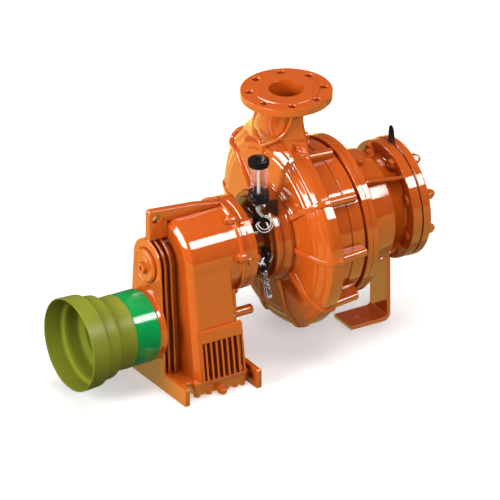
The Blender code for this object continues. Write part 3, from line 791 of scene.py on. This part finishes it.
def neck():
    body = hollow("lantern", [(60, -92.3), (98, -92.3, 1), (98, -102, 2.5), (77, -107, 6), (72, -114, 8),
        (72, -134, 10), (90, -147.7, 1), (60, -147.7)], 6, 144)
    fuse(body, lathe("valve_boss", [(13, 60), (13, 72, 2), (10.5, 76, 1.5)], 3, 32, (0, -122, -20), "X"),
        lathe("plug_boss", [(9, 60), (9, 77, 2)], 3, 24, (0, -104, -42), "X"))
    # darkest enamel: painted shade on the lantern neck
    return finished(body, DEEP_SHADE_ORANGE, "shaded_paint", "lantern_neck")


def suction_cover():
    body = hollow("suction_cover", [(75, 60), (170, 60), (170, 106.3), (182, 106.3, 0.5), (182, 110.5, 0.5),
        (COVER_R, 110.5, 1.5), (COVER_R, 141, 4), (188, 144, 3), (160, 145.5, 5), (148, 151, 9),
        (144.5, 164, 12), (142.6, 187, 16), (139, 219, 8), (134, 227, 4), (121, 233, 7), (115, 246, 8),
        (113, 257, 4), (113, 268, 3), (FLANGE2_R, 268, 2), (FLANGE2_R, 293, 1.4), (75, 293, 0.5)], 5, 168)
    ribs = []
    for deg in (47, 133, -45, -135):
        side = ([(95, 141), (184, 141), (184, 158), (168, 200), (141, 262), (141, 270), (95, 270)] if deg == 47
            else [(95, 180), (142, 186), (148, 202), (128, 254), (128, 270), (95, 270)])
        ribs.append(soft_edges(loft("web", [turned([(r, y, w) for r, y in side], deg) for w in (-5, 5)]), 4.4,
            5, 28))
    ribs.append(lathe("plug_boss", [(14, 80), (14, 142, 2.5)], 4, 40, (15, 222, 0), "Z"))
    ribs.append(lathe("low_boss", [(12, 80), (12, 150, 3)], 4, 32, (40, 178, 0), "Z"))
    pads = [lathe("pad", [(15, 262, 1.5), (15, 272)], 3, 32, at) for at in round_the_shaft(EIGHTHS, STUD_R, 0)]
    fuse(body, *ribs, *pads)
    carve(body, revolve("seam", [(COVER_R - 1.6, 124.2), (COVER_R + 3, 124.2), (COVER_R + 3, 125.2),
        (COVER_R - 1.6, 125.2)], 160))
    finished(body, ORANGE, "orange_paint", "suction_cover", angle=30)
    screws("cover_plug", HEX_18, [(15, 222, 142)], (0, 0, 0.3))


def suction_joint():
    seal = revolve("flat_gasket", [(75, 293.3), (FLANGE2_R - 1, 293.3), (FLANGE2_R, 293.7), (FLANGE2_R, 295.3),
        (FLANGE2_R - 1, 295.7), (75, 295.7)], 144)
    half = [(15, 138), (12.6, 156), (11.6, 172), (9.6, 183), (6.4, 188.5), (2.5, 191)]
    tab = prism("gasket_tab", half + [(-x, z) for x, z in half[::-1]], 293.0, 296.0)
    soft_edges(tab, 0.7, 2, 40)
    finished(gather("flat_gasket", seal, tab), RUBBER, "black_rubber", "suction_gasket")
    ring = hollow("counter_flange", [(75, 296), (FLANGE2_R, 296, 1.2), (FLANGE2_R + 1, 298, 1),
        (FLANGE2_R + 1, 315, 3), (FLANGE2_R - 2, 318, 1.5), (104, 318, 1), (102, 319.6, 0.6), (75, 319.6, 1)],
        4, 160)
    bore = revolve("socket", [(0, 290), (75, 290), (75, 312), (79, 322), (0, 322)], 96, turn=1.0)
    carve(ring, bore)
    finished(ring, ORANGE, "orange_paint", "suction_flange")
    nuts = laid_out("flange_nuts", ROUND_CIRCLE, {"Part": NUT, "Count": 8, "Circle": STUD_R / 1000,
        "First": radians(EIGHTHS[0]), "Centre": place(0, 318, 0), "Turn": TO_PLUS_Y, "Finish": ORANGE})
    finished(nuts, None, "orange_paint")
    for i, at in enumerate(round_the_shaft((67.5, 112.5), 127, 267.7)):
        screws("inner_screw_%d" % i, HEX_24, [at], (pi / 2, 0.4, 0), "suction_screw_%d" % i)


def foot():
    r, t, back, toe = 20.0, 10.0, 267.7, 158.0  # bend, thickness and the strap's ends

    def bend(radius, angles):
        return [(back - r + radius * sin(radians(a)), GROUND + r - radius * cos(radians(a))) for a in angles]
    outline = [(toe, GROUND), *bend(r, range(0, 91, 6)), (back, -113.5), (back - t, -113.5),
        *bend(r - t, range(90, -1, -6)), (toe, GROUND + t)]
    body = prism("bent_foot", outline, -40, 40, "X")
    soft_edges(body, 1.6, 3, 50)
    carve(body, revolve("foot_hole", [(0, -312), (9, -312), (9, -298.5), (10.5, -296), (0, -296)], 32,
        (0, 200, 0), "Z"))
    finished(body, LESS_SHADE_ORANGE, "orange_paint", "support_foot")
    screws("foot_screws", HEX_24, [(-27, 257.7, -130), (27, 257.7, -130)], TO_MINUS_Y)


def plate_outline(inset, foot):
    """Front plate: narrow round head over a wide foot."""
    return [(-(82 - inset), foot)] + arc(0, 6, 61 - inset, 184, -4, 48) + [(82 - inset, foot)]


def eased(outline_at, y0, y1, front, back, steps=4):
    """Rows between two planes whose outline is drawn in at both ends along a quarter round."""
    rows = []
    for k in range(steps + 1):
        a = radians(90 * k / steps)
        rows.append((y0 + front * (1 - cos(a)), front * (1 - sin(a))))
    for k in range(steps + 1):
        a = radians(90 * k / steps)
        rows.append((y1 - back * (1 - sin(a)), back * (1 - cos(a))))
    return [[(x, y, z) for x, z in outline_at(inset)] for y, inset in rows]


def front_cover():
    body = loft("front_cover", eased(lambda i: plate_outline(i, -268), -392.5, -387, 2, 1))
    rail = loft("front_rail", eased(lambda i: oblong(176, GROUND, -261.5, i, 3, 3), -391, -377.3, 1.6, 1))
    boss = lathe("input_boss", [(86.5, -407, 1.5), (88.5, -404.5, 3), (89, -396, 4), (90, -387.6)], 6, 160,
        (0, 0, PTO_Z))
    fuse(body, rail, boss)
    carve(body, revolve("input_bore", [(0, -412), (30, -412), (30, -391), (0, -391)], 64, (0, 0, PTO_Z)),
        lathe("cap_recess", [(46.5, -398), (45.6, -392, 1), (45.2, -389.4, 1)], 3, 96))
    finished(body, SMOOTH_ORANGE, "orange_paint", "gear_front_cover")


def bearing_cap():
    body = lathe("bearing_cap", [(43, -390.0), (43.6, -396.5, 1.4), (40, -401.4, 2.5), (36.5, -401.6, 1),
        (35.5, -400.6, 1), (22.5, -400.4, 1), (21.5, -401.4, 1)], 5, 128)
    plug = prism("plug_head", hexagon(15.5, 8, (2, -3)), -410.5, -398)
    soft_edges(plug, 1.2, 3, 25)
    fuse(body, plug)
    carve(body, soft_edges(prism("key_socket", hexagon(6.4, 8, (2, -3)), -414, -407), 0.5, 2, 25))
    finished(body, SMOOTH_ORANGE, "orange_paint", "bearing_cap")
    screws("cap_screw", HEX_12, [(6, -392.4, -51)], TO_MINUS_Y, finish=SMOOTH_ORANGE, size=0.62)


def cover_fins():
    body = prism("fin_core", plate_outline(16, -265), -386.7, -340.3)
    for y in (-379, -362.5):
        fuse(body, loft("fin", eased(lambda i: plate_outline(i + 0.5, -265), y, y + 7, 3.2, 3.2, 5)))
    # darker enamel: painted shade on the fins and their grooves
    finished(body, SHADED, "shaded_paint", "gear_cover_fins")


def housing_outline(inset):
    return [(-(150 - inset), -270.0)] + arc(0, 0, 110 - inset, 184, -4, 56) + [(150 - inset, -270.0)]


def wall_x(z):
    """Half width of the housing's sloping side at a height."""
    return 110 + 40 * -z / 270


EARS = round_the_shaft((57.5, 8, -52, -103, 152), 111, 0)
REAR_LUGS = round_the_shaft((50, -1, 101, -75, 152), 103, 0)


def gear_housing():
    front = [(-340, 16.5), (-339.6, 14.6), (-338.6, 12.6), (-337, 10.4), (-330.5, 3.6), (-328.4, 1.9),
        (-326, 0.7), (-322.5, 0.1), (-318, 0)]
    rows = [[(x, y, z) for x, z in housing_outline(i)] for y, i in front] + eased(housing_outline, -310, -223,
        0.2, 4, 6)[7:]
    body = loft("gear_housing", rows)
    shelf = soft_edges(block("shelf", -141, 141, -377, -345, -277, -265.2), 1.8)
    low = loft("rear_wall", eased(lambda i: rounded([(-118 + i, -269), (118 - i, -269), (96 - i, -142 - i, 14),
        (-96 + i, -142 - i, 14)], 6), -240, -198.5, 2, 3))
    skirt = loft("foot_flange", [[(x, y, z) for x, y in oblong(154, -352, -198, i, 11, 5)]
        for z, i in ((-277, 1.2), (-276, 0), (-267.6, 0), (-266, 0.6), (-265.2, 2.2))])
    drum = lathe("rear_drum", [(100, -262), (109.75, -250, 2), (109.75, -194.5, 1.5), (113, -192, 1),
        (117, -191.5, 2.5), (117.5, -184.5, 2.5), (113.2, -181.5, 2), (113, -168.5, 1), (115, -166.5, 1),
        (115, -148, 2.5)], 4, 160)
    arm = lathe("rear_boss", [(12, -215), (12, -147, 3)], 4, 40, (80, 0, -147))
    web = soft_edges(prism("rear_web", [(68, -147), (92, -147), (84, -80), (60, -80)], -214, -194), 2)
    ears = [lathe("ear", [(11, -204, 1.5), (13.6, -198, 3), (13.6, -184, 3)], 5, 48, at) for at in EARS]
    lugs = [lathe("lug", [(13.5, -176), (13.5, -147.8, 3)], 4, 40, at) for at in REAR_LUGS]
    fuse(body, low, skirt, shelf, drum, arm, web, *ears, *lugs)
    pockets = [prism("fin_pocket", [(sign * (wall_x(z) + d), z) for z, d in (
        (-171, -9), (-171, 5), (-264.5, 5), (-264.5, -9))], -324.5, -213) for sign in (-1, 1)]
    carve(body, revolve("shaft_bore", [(0, -250.3), (24.3, -250.3), (24.3, -140), (0, -140)], 48), *pockets)
    finished(body, ORANGE, "orange_paint", "gear_housing", angle=30)
    screws("ear_screws", HEX_18, [(x, -203.6, z) for x, _, z in EARS], TO_MINUS_Y)
    screws("rear_screws", HEX_18, [(x, -148, z) for x, _, z in REAR_LUGS], TO_PLUS_Y)


def lifting_web():
    outline = rounded([(-390.7, 67.3), (-390.7, 145.5, 11), (-262, 132.5, 30), (-195.5, 120.3, 1),
        (-195.5, 111.6), (-244, 111.6, 1), (-251, 110.3, 1), (-340.3, 110.3, 1), (-340.3, 67.3)], 6)

    def side(i):
        return [(max(y, -390.7 + i), z - (i if z > 113 else 0)) for y, z in outline]
    body = loft("lifting_web", [[(x, y, z) for y, z in side(i)] for x, i in (
        (-10, 2.5), (-9.2, 1), (-7.5, 0), (7.5, 0), (9.2, 1), (10, 2.5))])
    carve(body, revolve("eye", [(0, -20), (13, -20), (13, -10.4), (9.5, -7), (9.5, 7), (13, 10.4), (13, 20),
        (0, 20)], 48, (0, -370, 119), "X"))
    finished(body, ORANGE, "orange_paint", "lifting_web")


def side_fins(sign, name):
    y0, y1, post = -328.0, -210.0, 4.5

    def on_wall(label, profile, a=y0, b=y1):
        return prism(label, [(sign * (wall_x(z) + d), z) for d, z in profile], a, b)
    body = on_wall("bare_band", [(0.3, -139), (5.5, -139.6), (8.6, -142.5), (9, -168), (7.6, -171),
        (0.3, -171)])
    upright = [(0.3, -160), (8.8, -166), (9.5, -267), (0.3, -267)]
    fuse(body, on_wall("front_post", upright, y0, y0 + post), on_wall("rear_post", upright, y1 - post, y1),
        on_wall("sill", [(0.3, -264), (9.5, -265), (9.5, -267), (0.3, -267)]))
    soft_edges(body, 1.2, 2, 25)
    fin = prism("cooling_fin", [(sign * (wall_x(z) - 110 + d), z) for d, z in (
        (-8.7, -264.2), (9.6, -265.5), (9.4, -200), (8.4, -169), (-8.7, -171.3))], -2.7, 2.7)
    own_shape("cooling_fin", soft_edges(fin, 1.4, 3, 40))
    fins = laid_out(name + "_row", IN_ROW, {"Part": fin, "Count": 7, "Start": place(sign * 110, y0 + 13.9, 0),
        "Step": Vector((0, 14.9, 0)) / 1000, "Finish": ORANGE})
    bpy.data.objects.remove(fin)
    finished(gather(name, body, fins), ORANGE, "shaded_paint", name)


def sump_pan():
    body = loft("sump_pan", [[(x, y, z) for x, y in oblong(152, -350, -200, i, 10, 5)]
        for z, i in ((-277.3, 1), (-278.3, 0), (-285, 0), (-287, 1.6), (-299, 2.4), (-302.5, 5), (-304, 10))])
    lobes = [lathe("lobe", [(8.6, -306.4, 2.5), (9.4, -279, 2)], 4, 28, (x, y, 0), "Z")
        for x, y in ((142.5, -338), (142.5, -306), (142.5, -258), (142.5, -232), (142.5, -212), (-142.5, -338),
        (-142.5, -275), (-142.5, -212), (100, -341), (50, -341), (0, -341), (-50, -341), (-100, -341),
        (100, -209), (0, -209), (-100, -209))]
    plug_y, plug_z = -279, -295.5
    plug_boss = lathe("plug_boss", [(11, 120), (11, 160, 2)], 4, 32, (0, plug_y, plug_z), "X")
    fuse(body, *lobes, plug_boss)
    finished(body, LESS_SHADE_ORANGE, "orange_paint", "sump_pan")
    head = soft_edges(prism("drain_plug", hexagon(10.4, 10, (plug_y, plug_z)), 160.3, 169, "X"), 1.4, 3, 25)
    top = lathe("plug_top", [(7.4, 168), (7.4, 173, 1.5), (5.4, 174.4, 1)], 3, 28, (0, plug_y, plug_z), "X")
    collar = lathe("plug_collar", [(11, 160.3, 0.5), (11, 162, 0.8)], 2, 32, (0, plug_y, plug_z), "X")
    finished(gather("drain_plug", head, top, collar), ORANGE, "orange_paint", "drain_plug")


def rear_rail():
    body = loft("rear_rail", eased(lambda i: oblong(182, GROUND, -258, i, 3, 3), -194, -180, 1.5, 1.5))
    fuse(body, soft_edges(prism("rail_web", [(-118, -300), (118, -300), (100, -168), (-100, -168)], -197.6,
        -188), 2))
    carve(body, *[soft_edges(block("rail_pocket", a, a + 34, -205, -187, -291, -272), 2.5)
        for a in (-168, 134)])
    finished(body, ORANGE, "orange_paint", "gear_rear_rail")


def guard():
    at = (0, 0, PTO_Z)
    outer = [(91.5, -471.3, 1), (90.3, -503, 8), (92, -512, 6), (102.5, -524.5, 5), (104, -533, 6),
        (104.4, -550, 5), (105.5, -556, 3), (113.4, -562, 3), (114.4, -568, 3), (116.3, -608.6, 1),
        (115, -610, 0.8)]
    inner = [(113, -610, 0.8), (112.6, -607.5, 1), (110.8, -567, 2), (109, -564.4, 2), (102.4, -560, 2),
        (100.8, -553, 2), (100.2, -528, 4), (98.8, -523, 3), (88, -512.5, 5), (87.2, -505, 4),
        (88.6, -471.3, 0.8)]
    body = hollow("guard_cone", outer + inner, 5, 160, at)
    finished(body, OLIVE, "olive_plastic", "pto_guard_cone", angle=40)
    ring = hollow("guard_collar", [(90.5, -407.3, 0.5), (90.8, -411, 2), (90.5, -470.4, 0.8), (89, -471, 0.5),
        (60, -471, 1), (60, -468, 1), (86.6, -468, 2), (87, -407.3)], 4, 160, at)
    finished(ring, GREEN, "green_plastic", "pto_guard_collar", angle=40)


def input_shaft():
    shaft = lathe("input_shaft", [(14.4, -478, 1.5), (16, -474, 0.5), (16, -391.3)], 3, 64, (0, 0, PTO_Z))
    teeth = []
    for k in range(6):
        c, s = cos(radians(60 * k)), sin(radians(60 * k))
        tooth = prism("spline", [(u * c - v * s, u * s + v * c + PTO_Z)
            for u, v in ((10, -4.3), (17.5, -4.3), (17.5, 4.3), (10, 4.3))], -477, -418)
        teeth.append(soft_edges(tooth, 0.7, 2))
    fuse(shaft, *teeth)
    carve(shaft, hollow("catch_groove", [(14.5, -462), (22, -462), (22, -454), (14.5, -454)], 2, 48,
        (0, 0, PTO_Z)))
    finished(shaft, STEEL, "bright_steel", "input_shaft")


OIL = (62.0, -116.0, 0.0)  # upright axis of the oil reservoir


def knurled(name, r, z0, z1):
    """A cap whose rim has upright grip ridges."""
    teeth, depth = 44, 0.7
    angles = [2 * pi * k / (teeth * 4) for k in range(teeth * 4)]
    edge = [(a, r - depth * (0.5 - 0.5 * cos(a * teeth))) for a in angles]
    levels = [(z0, 1.2), (z0 + 0.8, 0.3), (z0 + 1.8, 0), (z1 - 2.6, 0), (z1 - 1.1, 0.5), (z1 - 0.3, 1.5),
        (z1, 3.2)]
    return loft(name, [[((q - d) * cos(a) + OIL[0], (q - d) * sin(a) + OIL[1], z) for a, q in edge]
        for z, d in levels])


def reservoir():
    collar = lathe("collar", [(24.8, 144), (24.8, 148, 1)], 3, 64, OIL, "Z")
    lip = hollow("lip", [(20.4, 147.6), (24.8, 147.6), (24.8, 152.5, 0.8), (23.3, 152.5, 0.6), (23.3, 148.4),
        (20.4, 148.4)], 2, 64, OIL, "Z")
    low = gather("bottom_cap", knurled("grip", 26, 127, 145), collar, lip)
    finished(low, BLACK, "black_plastic", "reservoir_cap_bottom")
    wall = hollow("sight_glass", [(20.5, 148.5, 0.6), (23, 148.5, 0.6), (23, 221.7, 0.6), (20.5, 221.7, 0.6)],
        3, 96, OIL, "Z")
    finished(wall, GLASS, "clear_glass", "reservoir_glass", angle=40)
    tube = hollow("inner_tube", [(2.6, 148.3), (3.8, 148.3), (3.8, 221.7), (2.6, 221.7)], 2, 32, OIL, "Z")
    finished(tube, HOSE, "clear_glass", "reservoir_tube")
    under = lathe("under", [(24.4, 220.5, 0.8), (24.4, 224)], 2, 64, OIL, "Z")
    step = lathe("step", [(19, 238), (18, 241.2, 1.2)], 3, 64, OIL, "Z")
    knob = lathe("knob", [(8, 240.6, 0.5), (8, 245, 1.6), (4.5, 246, 1)], 3, 40, OIL, "Z")
    top = gather("top_cap", knurled("grip", 26, 223, 239), under, step, knob)
    finished(top, BLACK, "black_plastic", "reservoir_cap_top")


def oil_fittings():
    cone = lathe("outlet", [(17, 123.4, 0.6), (17, 120.5, 1.5), (11.5, 115, 4), (6.4, 111.5, 2), (6.4, 103, 1),
        (5, 101.5, 0.5), (5, 96, 0.6)], 4, 56, OIL, "Z")
    elbow = pipe("elbow", [(62, -116, 104), (62, -116, 98), (63, -113, 92), (66, -108.5, 86), (68, -104.5, 79)],
        4.2, GREY)
    nut = soft_edges(prism("elbow_nut", hexagon(7.6, 12, OIL), 102, 108, "Z"), 0.8, 2, 25)
    finished(gather("outlet", cone, elbow, nut), GREY, "bright_steel", "reservoir_outlet")
    tray = soft_edges(block("tray", 44, 80, -134, -92, 123.7, 126.7), 0.8)
    sheet = prism("sheet", rounded([(-108, 126.5, 1), (-108, 103, 2), (-76, 82, 2), (-72.5, 82, 1),
        (-72.5, 126, 1.5), (-78, 129, 1), (-104, 129, 1)], 2), 77.8, 80.8, "X")
    fuse(tray, soft_edges(sheet, 0.6, 2, 50))
    finished(tray, DARK_STEEL, "dark_steel", "reservoir_bracket")
    # round vent with two loops of thin hose beside the lantern
    vent = lathe("lantern_vent", [(13.5, 44), (13.5, 68, 2), (12, 71.5, 1.5), (9, 72.5, 1), (8, 70.5, 0.8)], 3,
        64, (0, -107, 66), "X")
    elbow = pipe("vent_elbow", [(60, -107, 66), (66, -106, 74), (69, -104.5, 81), (69, -104, 83)], 6.4, BLACK)
    finished(gather("lantern_vent", vent, elbow), BLACK, "black_plastic")
    paths = [([(70, -117, 70), (86, -138, 77), (94, -133, 64), (95, -120, 56), (95, -106, 57.5),
        (95, -96.5, 67), (95, -95.5, 80), (91, -101.5, 91), (76, -106, 90)], 1.4),
        ([(70, -116, 72), (84, -132, 79), (92, -128, 69), (94, -118, 63), (94, -107, 64.5), (94, -101, 72),
        (93, -100.5, 80), (88, -104, 87), (74, -106, 85)], 1.4), ([(84, -119, -24), (94, -113, -29),
        (97, -102, -21), (96, -98.5, -8), (91, -101, 4), (74, -105, 11)], 1.2)]
    loops = [pipe("hose", path, radius, HOSE, 10) for path, radius in paths]
    finished(gather("thin_hoses", *loops), HOSE, "clear_glass")


def valve():
    x0, z0, x1, z1 = 91.0, -27.0, 123.0, -107.0
    length = hypot(x1 - x0, z1 - z0)
    stub = lathe("stub", [(10.4, 76.3, 0.6), (10.4, 80, 1), (7.5, 81, 0.5), (7.5, 84, 0.5)], 3, 40,
        (0, -122, -22), "X")
    coupling = soft_edges(prism("coupling", hexagon(11.4, 0, (-122, -22)), 82, 97, "X"), 1.0, 3, 25)
    body = lathe("valve_body", [(7.6, -6, 2), (7.6, 9, 1.5), (5.2, 11, 1), (5.2, 19, 0.5), (8.6, 21, 1),
        (8.6, 27, 0.6), (6.4, 28, 0.4), (6.4, 38, 0.4), (9.4, 40, 0.8), (9.4, 47, 1), (6.6, 49, 0.8),
        (6.6, 53, 0.6), (9.0, 55, 1.2), (9.0, 59, 0.5), (8.0, 60, 0.4), (8.0, 62, 0.4), (9.0, 63, 0.4),
        (9.0, 80, 1.2), (7, 82.5, 1), (7, length - 1, 1), (5, length, 0.6)], 3, 48, axis="Z")
    body.data.transform(Matrix.Translation(-place(0, 0, 0)))
    lean = pi - atan2(x1 - x0, z0 - z1)
    body.data.transform(Matrix.Translation(place(x0, -122, z0)) @ Matrix.Rotation(lean, 4, "Y"))
    fuse(stub, coupling, body)
    finished(stub, CHROME, "chrome_fitting", "drain_valve")
    bend = pipe("black_elbow", [(70, -110, 2), (84, -110, 0), (95, -111, -5), (99, -114, -15), (99, -117, -26)],
        6.0, BLACK)
    lever = prism("cock_handle", rounded([(-129, -60), (-117, -60), (-115, -30), (-131, -30)], 4, 3), 95, 103,
        "X")
    finished(gather("valve_cock", bend, soft_edges(lever, 1.2, 3, 30)), BLACK, "black_plastic")


def dressed(node, finish):
    """A solid that is already right keeps its mesh and takes a finish."""
    for slot in NODES[node].material_slots:
        slot.material = finish


for build in (casing, seal_ring, neck, suction_cover, suction_joint, foot, front_cover, bearing_cap, cover_fins,
        gear_housing, lifting_web, sump_pan, rear_rail, guard, input_shaft, reservoir, oil_fittings, valve):
    build()
side_fins(1, "side_fins_right")
side_fins(-1, "side_fins_left")
dressed("pump_shaft", STEEL)
dressed("impeller", IRON)


TURN, TILT = radians(58.6), radians(27.3)  # the photograph's view
NEAR, FAR = 4.0, 9.0  # distances of the lamps
WARM_WHITE, AMBER, DEEP_AMBER = (1.0, 0.98, 0.95), (1.0, 0.66, 0.13), (1.0, 0.62, 0.10)


def camera():
    right = Vector((cos(TURN), sin(TURN), 0))
    back = Vector((sin(TURN) * cos(TILT), -cos(TURN) * cos(TILT), sin(TILT)))
    up = back.cross(right)
    centre = Vector((0, 0.384, 0.677)) + right * -0.0873 + up * -0.3868
    data = bpy.data.cameras.new("view")
    data.type, data.ortho_scale = "ORTHO", 1.197
    data.clip_start, data.clip_end = 0.1, 60
    cam = added("view", data)
    cam.matrix_world = Matrix.Translation(centre + back * 5) @ Matrix((right, up, back)).transposed().to_4x4()
    bpy.context.scene.camera = cam


def lamp(name, direction, distance, size, power, colour=(1, 1, 1), seen_in="paint", along=(0, 0, 0),
        aim=(0, 0.38, 0.3)):
    """Flat lamp that faces the aim, seen in the paint or in its shine; along is the way its width runs."""
    light = bpy.data.lights.new(name, "AREA")
    light.shape, light.size, light.size_y = "RECTANGLE", size[0], size[1]
    light.energy, light.color = power, colour
    ob = added(name, light)
    z = Vector(direction).normalized()
    x = Vector(along) - z * z.dot(Vector(along))
    x = x.normalized() if x.length > 0.01 else Vector((0, 0, 1)).cross(z).normalized()
    turn = Matrix((x, z.cross(x), z)).transposed().to_4x4()
    ob.matrix_world = Matrix.Translation(Vector(aim) + z * distance) @ turn
    ob.visible_camera, ob.visible_glossy, ob.visible_diffuse = False, seen_in == "shine", seen_in == "paint"
    return ob


def with_finish(name, wanted):
    """Collection of the pieces whose material's name is wanted, for a lamp to be linked to."""
    group = bpy.data.collections.new(name)
    for ob in bpy.data.objects:
        if ob.type == "MESH" and any(m and wanted(m.name) for m in ob.data.materials):
            group.objects.link(ob)
    return group


def lights():
    painted = with_finish("painted_castings", lambda m: m.endswith("enamel"))
    castings = with_finish("castings_in_the_strip", lambda m: m.endswith("enamel") and m != LESS_SHADE_ORANGE.name)
    footing = with_finish("foot_on_the_ground", lambda m: m == LESS_SHADE_ORANGE.name)
    plated = with_finish("plated_fittings", lambda m: m in (CHROME.name, STEEL.name))

    def card(name, size, power, colour, at, receivers):
        """Bright patch on the ground that only these pieces reflect."""
        ob = lamp(name, (0, 0, -1), 0.0, size, power, colour, "shine", (1, 0, 0), at)
        ob.light_linking.receiver_collection = receivers

    # shine only: a box light behind the right shoulder, a long strip in front, warm cards on the ground
    lamp("softbox", (0.606, 0.463, 0.646), NEAR, (1.25, 2.0), 172, (1.0, 0.98, 0.94), "shine",
        (0.73, 0, -0.685))
    strip = lamp("strip", (-0.22, -0.81, 0.54), NEAR, (5.2, 1.3), 760, (1.0, 0.95, 0.84), "shine",
        (-1.07, 0.54, -0.17))
    strip.light_linking.receiver_collection = castings
    for name, width, depth, x, y in (("front_card", 9.0, 4.6, 0, -2.25), ("right_card", 4.6, 4.4, 2.47, 2.25),
            ("left_card", 4.6, 4.4, -2.95, 2.25)):
        card(name, (width, depth), 5.4 * width * depth, AMBER, (x, y, -0.0002), painted)
    card("under_card", (0.82, 4.4), 5.0, DEEP_AMBER, (-0.24, 2.25, -0.0002), painted)
    card("foot_card", (0.82, 4.4), 16.0, DEEP_AMBER, (-0.24, 2.25, -0.0003), footing)
    card("pale_card", (6.0, 6.0), 90, (1, 1, 1), (0.6, -0.4, -0.0003), plated)
    # soft fill for the paint itself
    lamp("front_soft", (0.05, -1.0, 0.40), FAR, (4.5, 3.5), 690, WARM_WHITE)
    lamp("side_soft", (1.0, -0.25, 0.6), FAR, (4.5, 3.5), 320, WARM_WHITE)
    lamp("top_soft", (0.15, 0.2, 1.0), FAR, (6, 6), 400)
    lamp("back_fill", (-0.8, 0.8, 0.5), FAR, (5, 5), 130)
    world = bpy.data.worlds.new("studio")
    bpy.context.scene.world = world
    world.use_nodes = True
    world.node_tree.nodes.clear()
    tree = world.node_tree
    glow = put(tree, "ShaderNodeBackground", None, {"Color": (1.0, 0.99, 0.97, 1.0), "Strength": 0.12})
    put(tree, "ShaderNodeOutputWorld", None, {"Surface": glow})


def studio_floor():
    bm = bmesh.new()
    bmesh.ops.create_grid(bm, x_segments=8, y_segments=8, size=9.0)
    floor = mesh_object("floor", bm)
    floor.data.transform(Matrix.Translation((0, 0.3, -0.0006)))
    mat, tree, here = new_finish("studio_floor")
    tone = mixed(tree, noise(tree, here, 3.0, 3.0), (0.93, 0.93, 0.93), (0.95, 0.95, 0.95))
    surface(mat, tree, {"Base Color": tone, "Roughness": 0.9, "Specular IOR Level": 0.1,
        "Emission Color": (1.0, 1.0, 1.0, 1.0), "Emission Strength": 0.32})
    floor.data.materials.append(mat)
    floor.visible_glossy = floor.visible_diffuse = False
    floor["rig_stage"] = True


camera()
lights()
studio_floor()
bpy.context.scene.view_settings.view_transform = "Standard"

for part in (NUT, HEX_18, HEX_24, HEX_12):
    bpy.data.objects.remove(part)
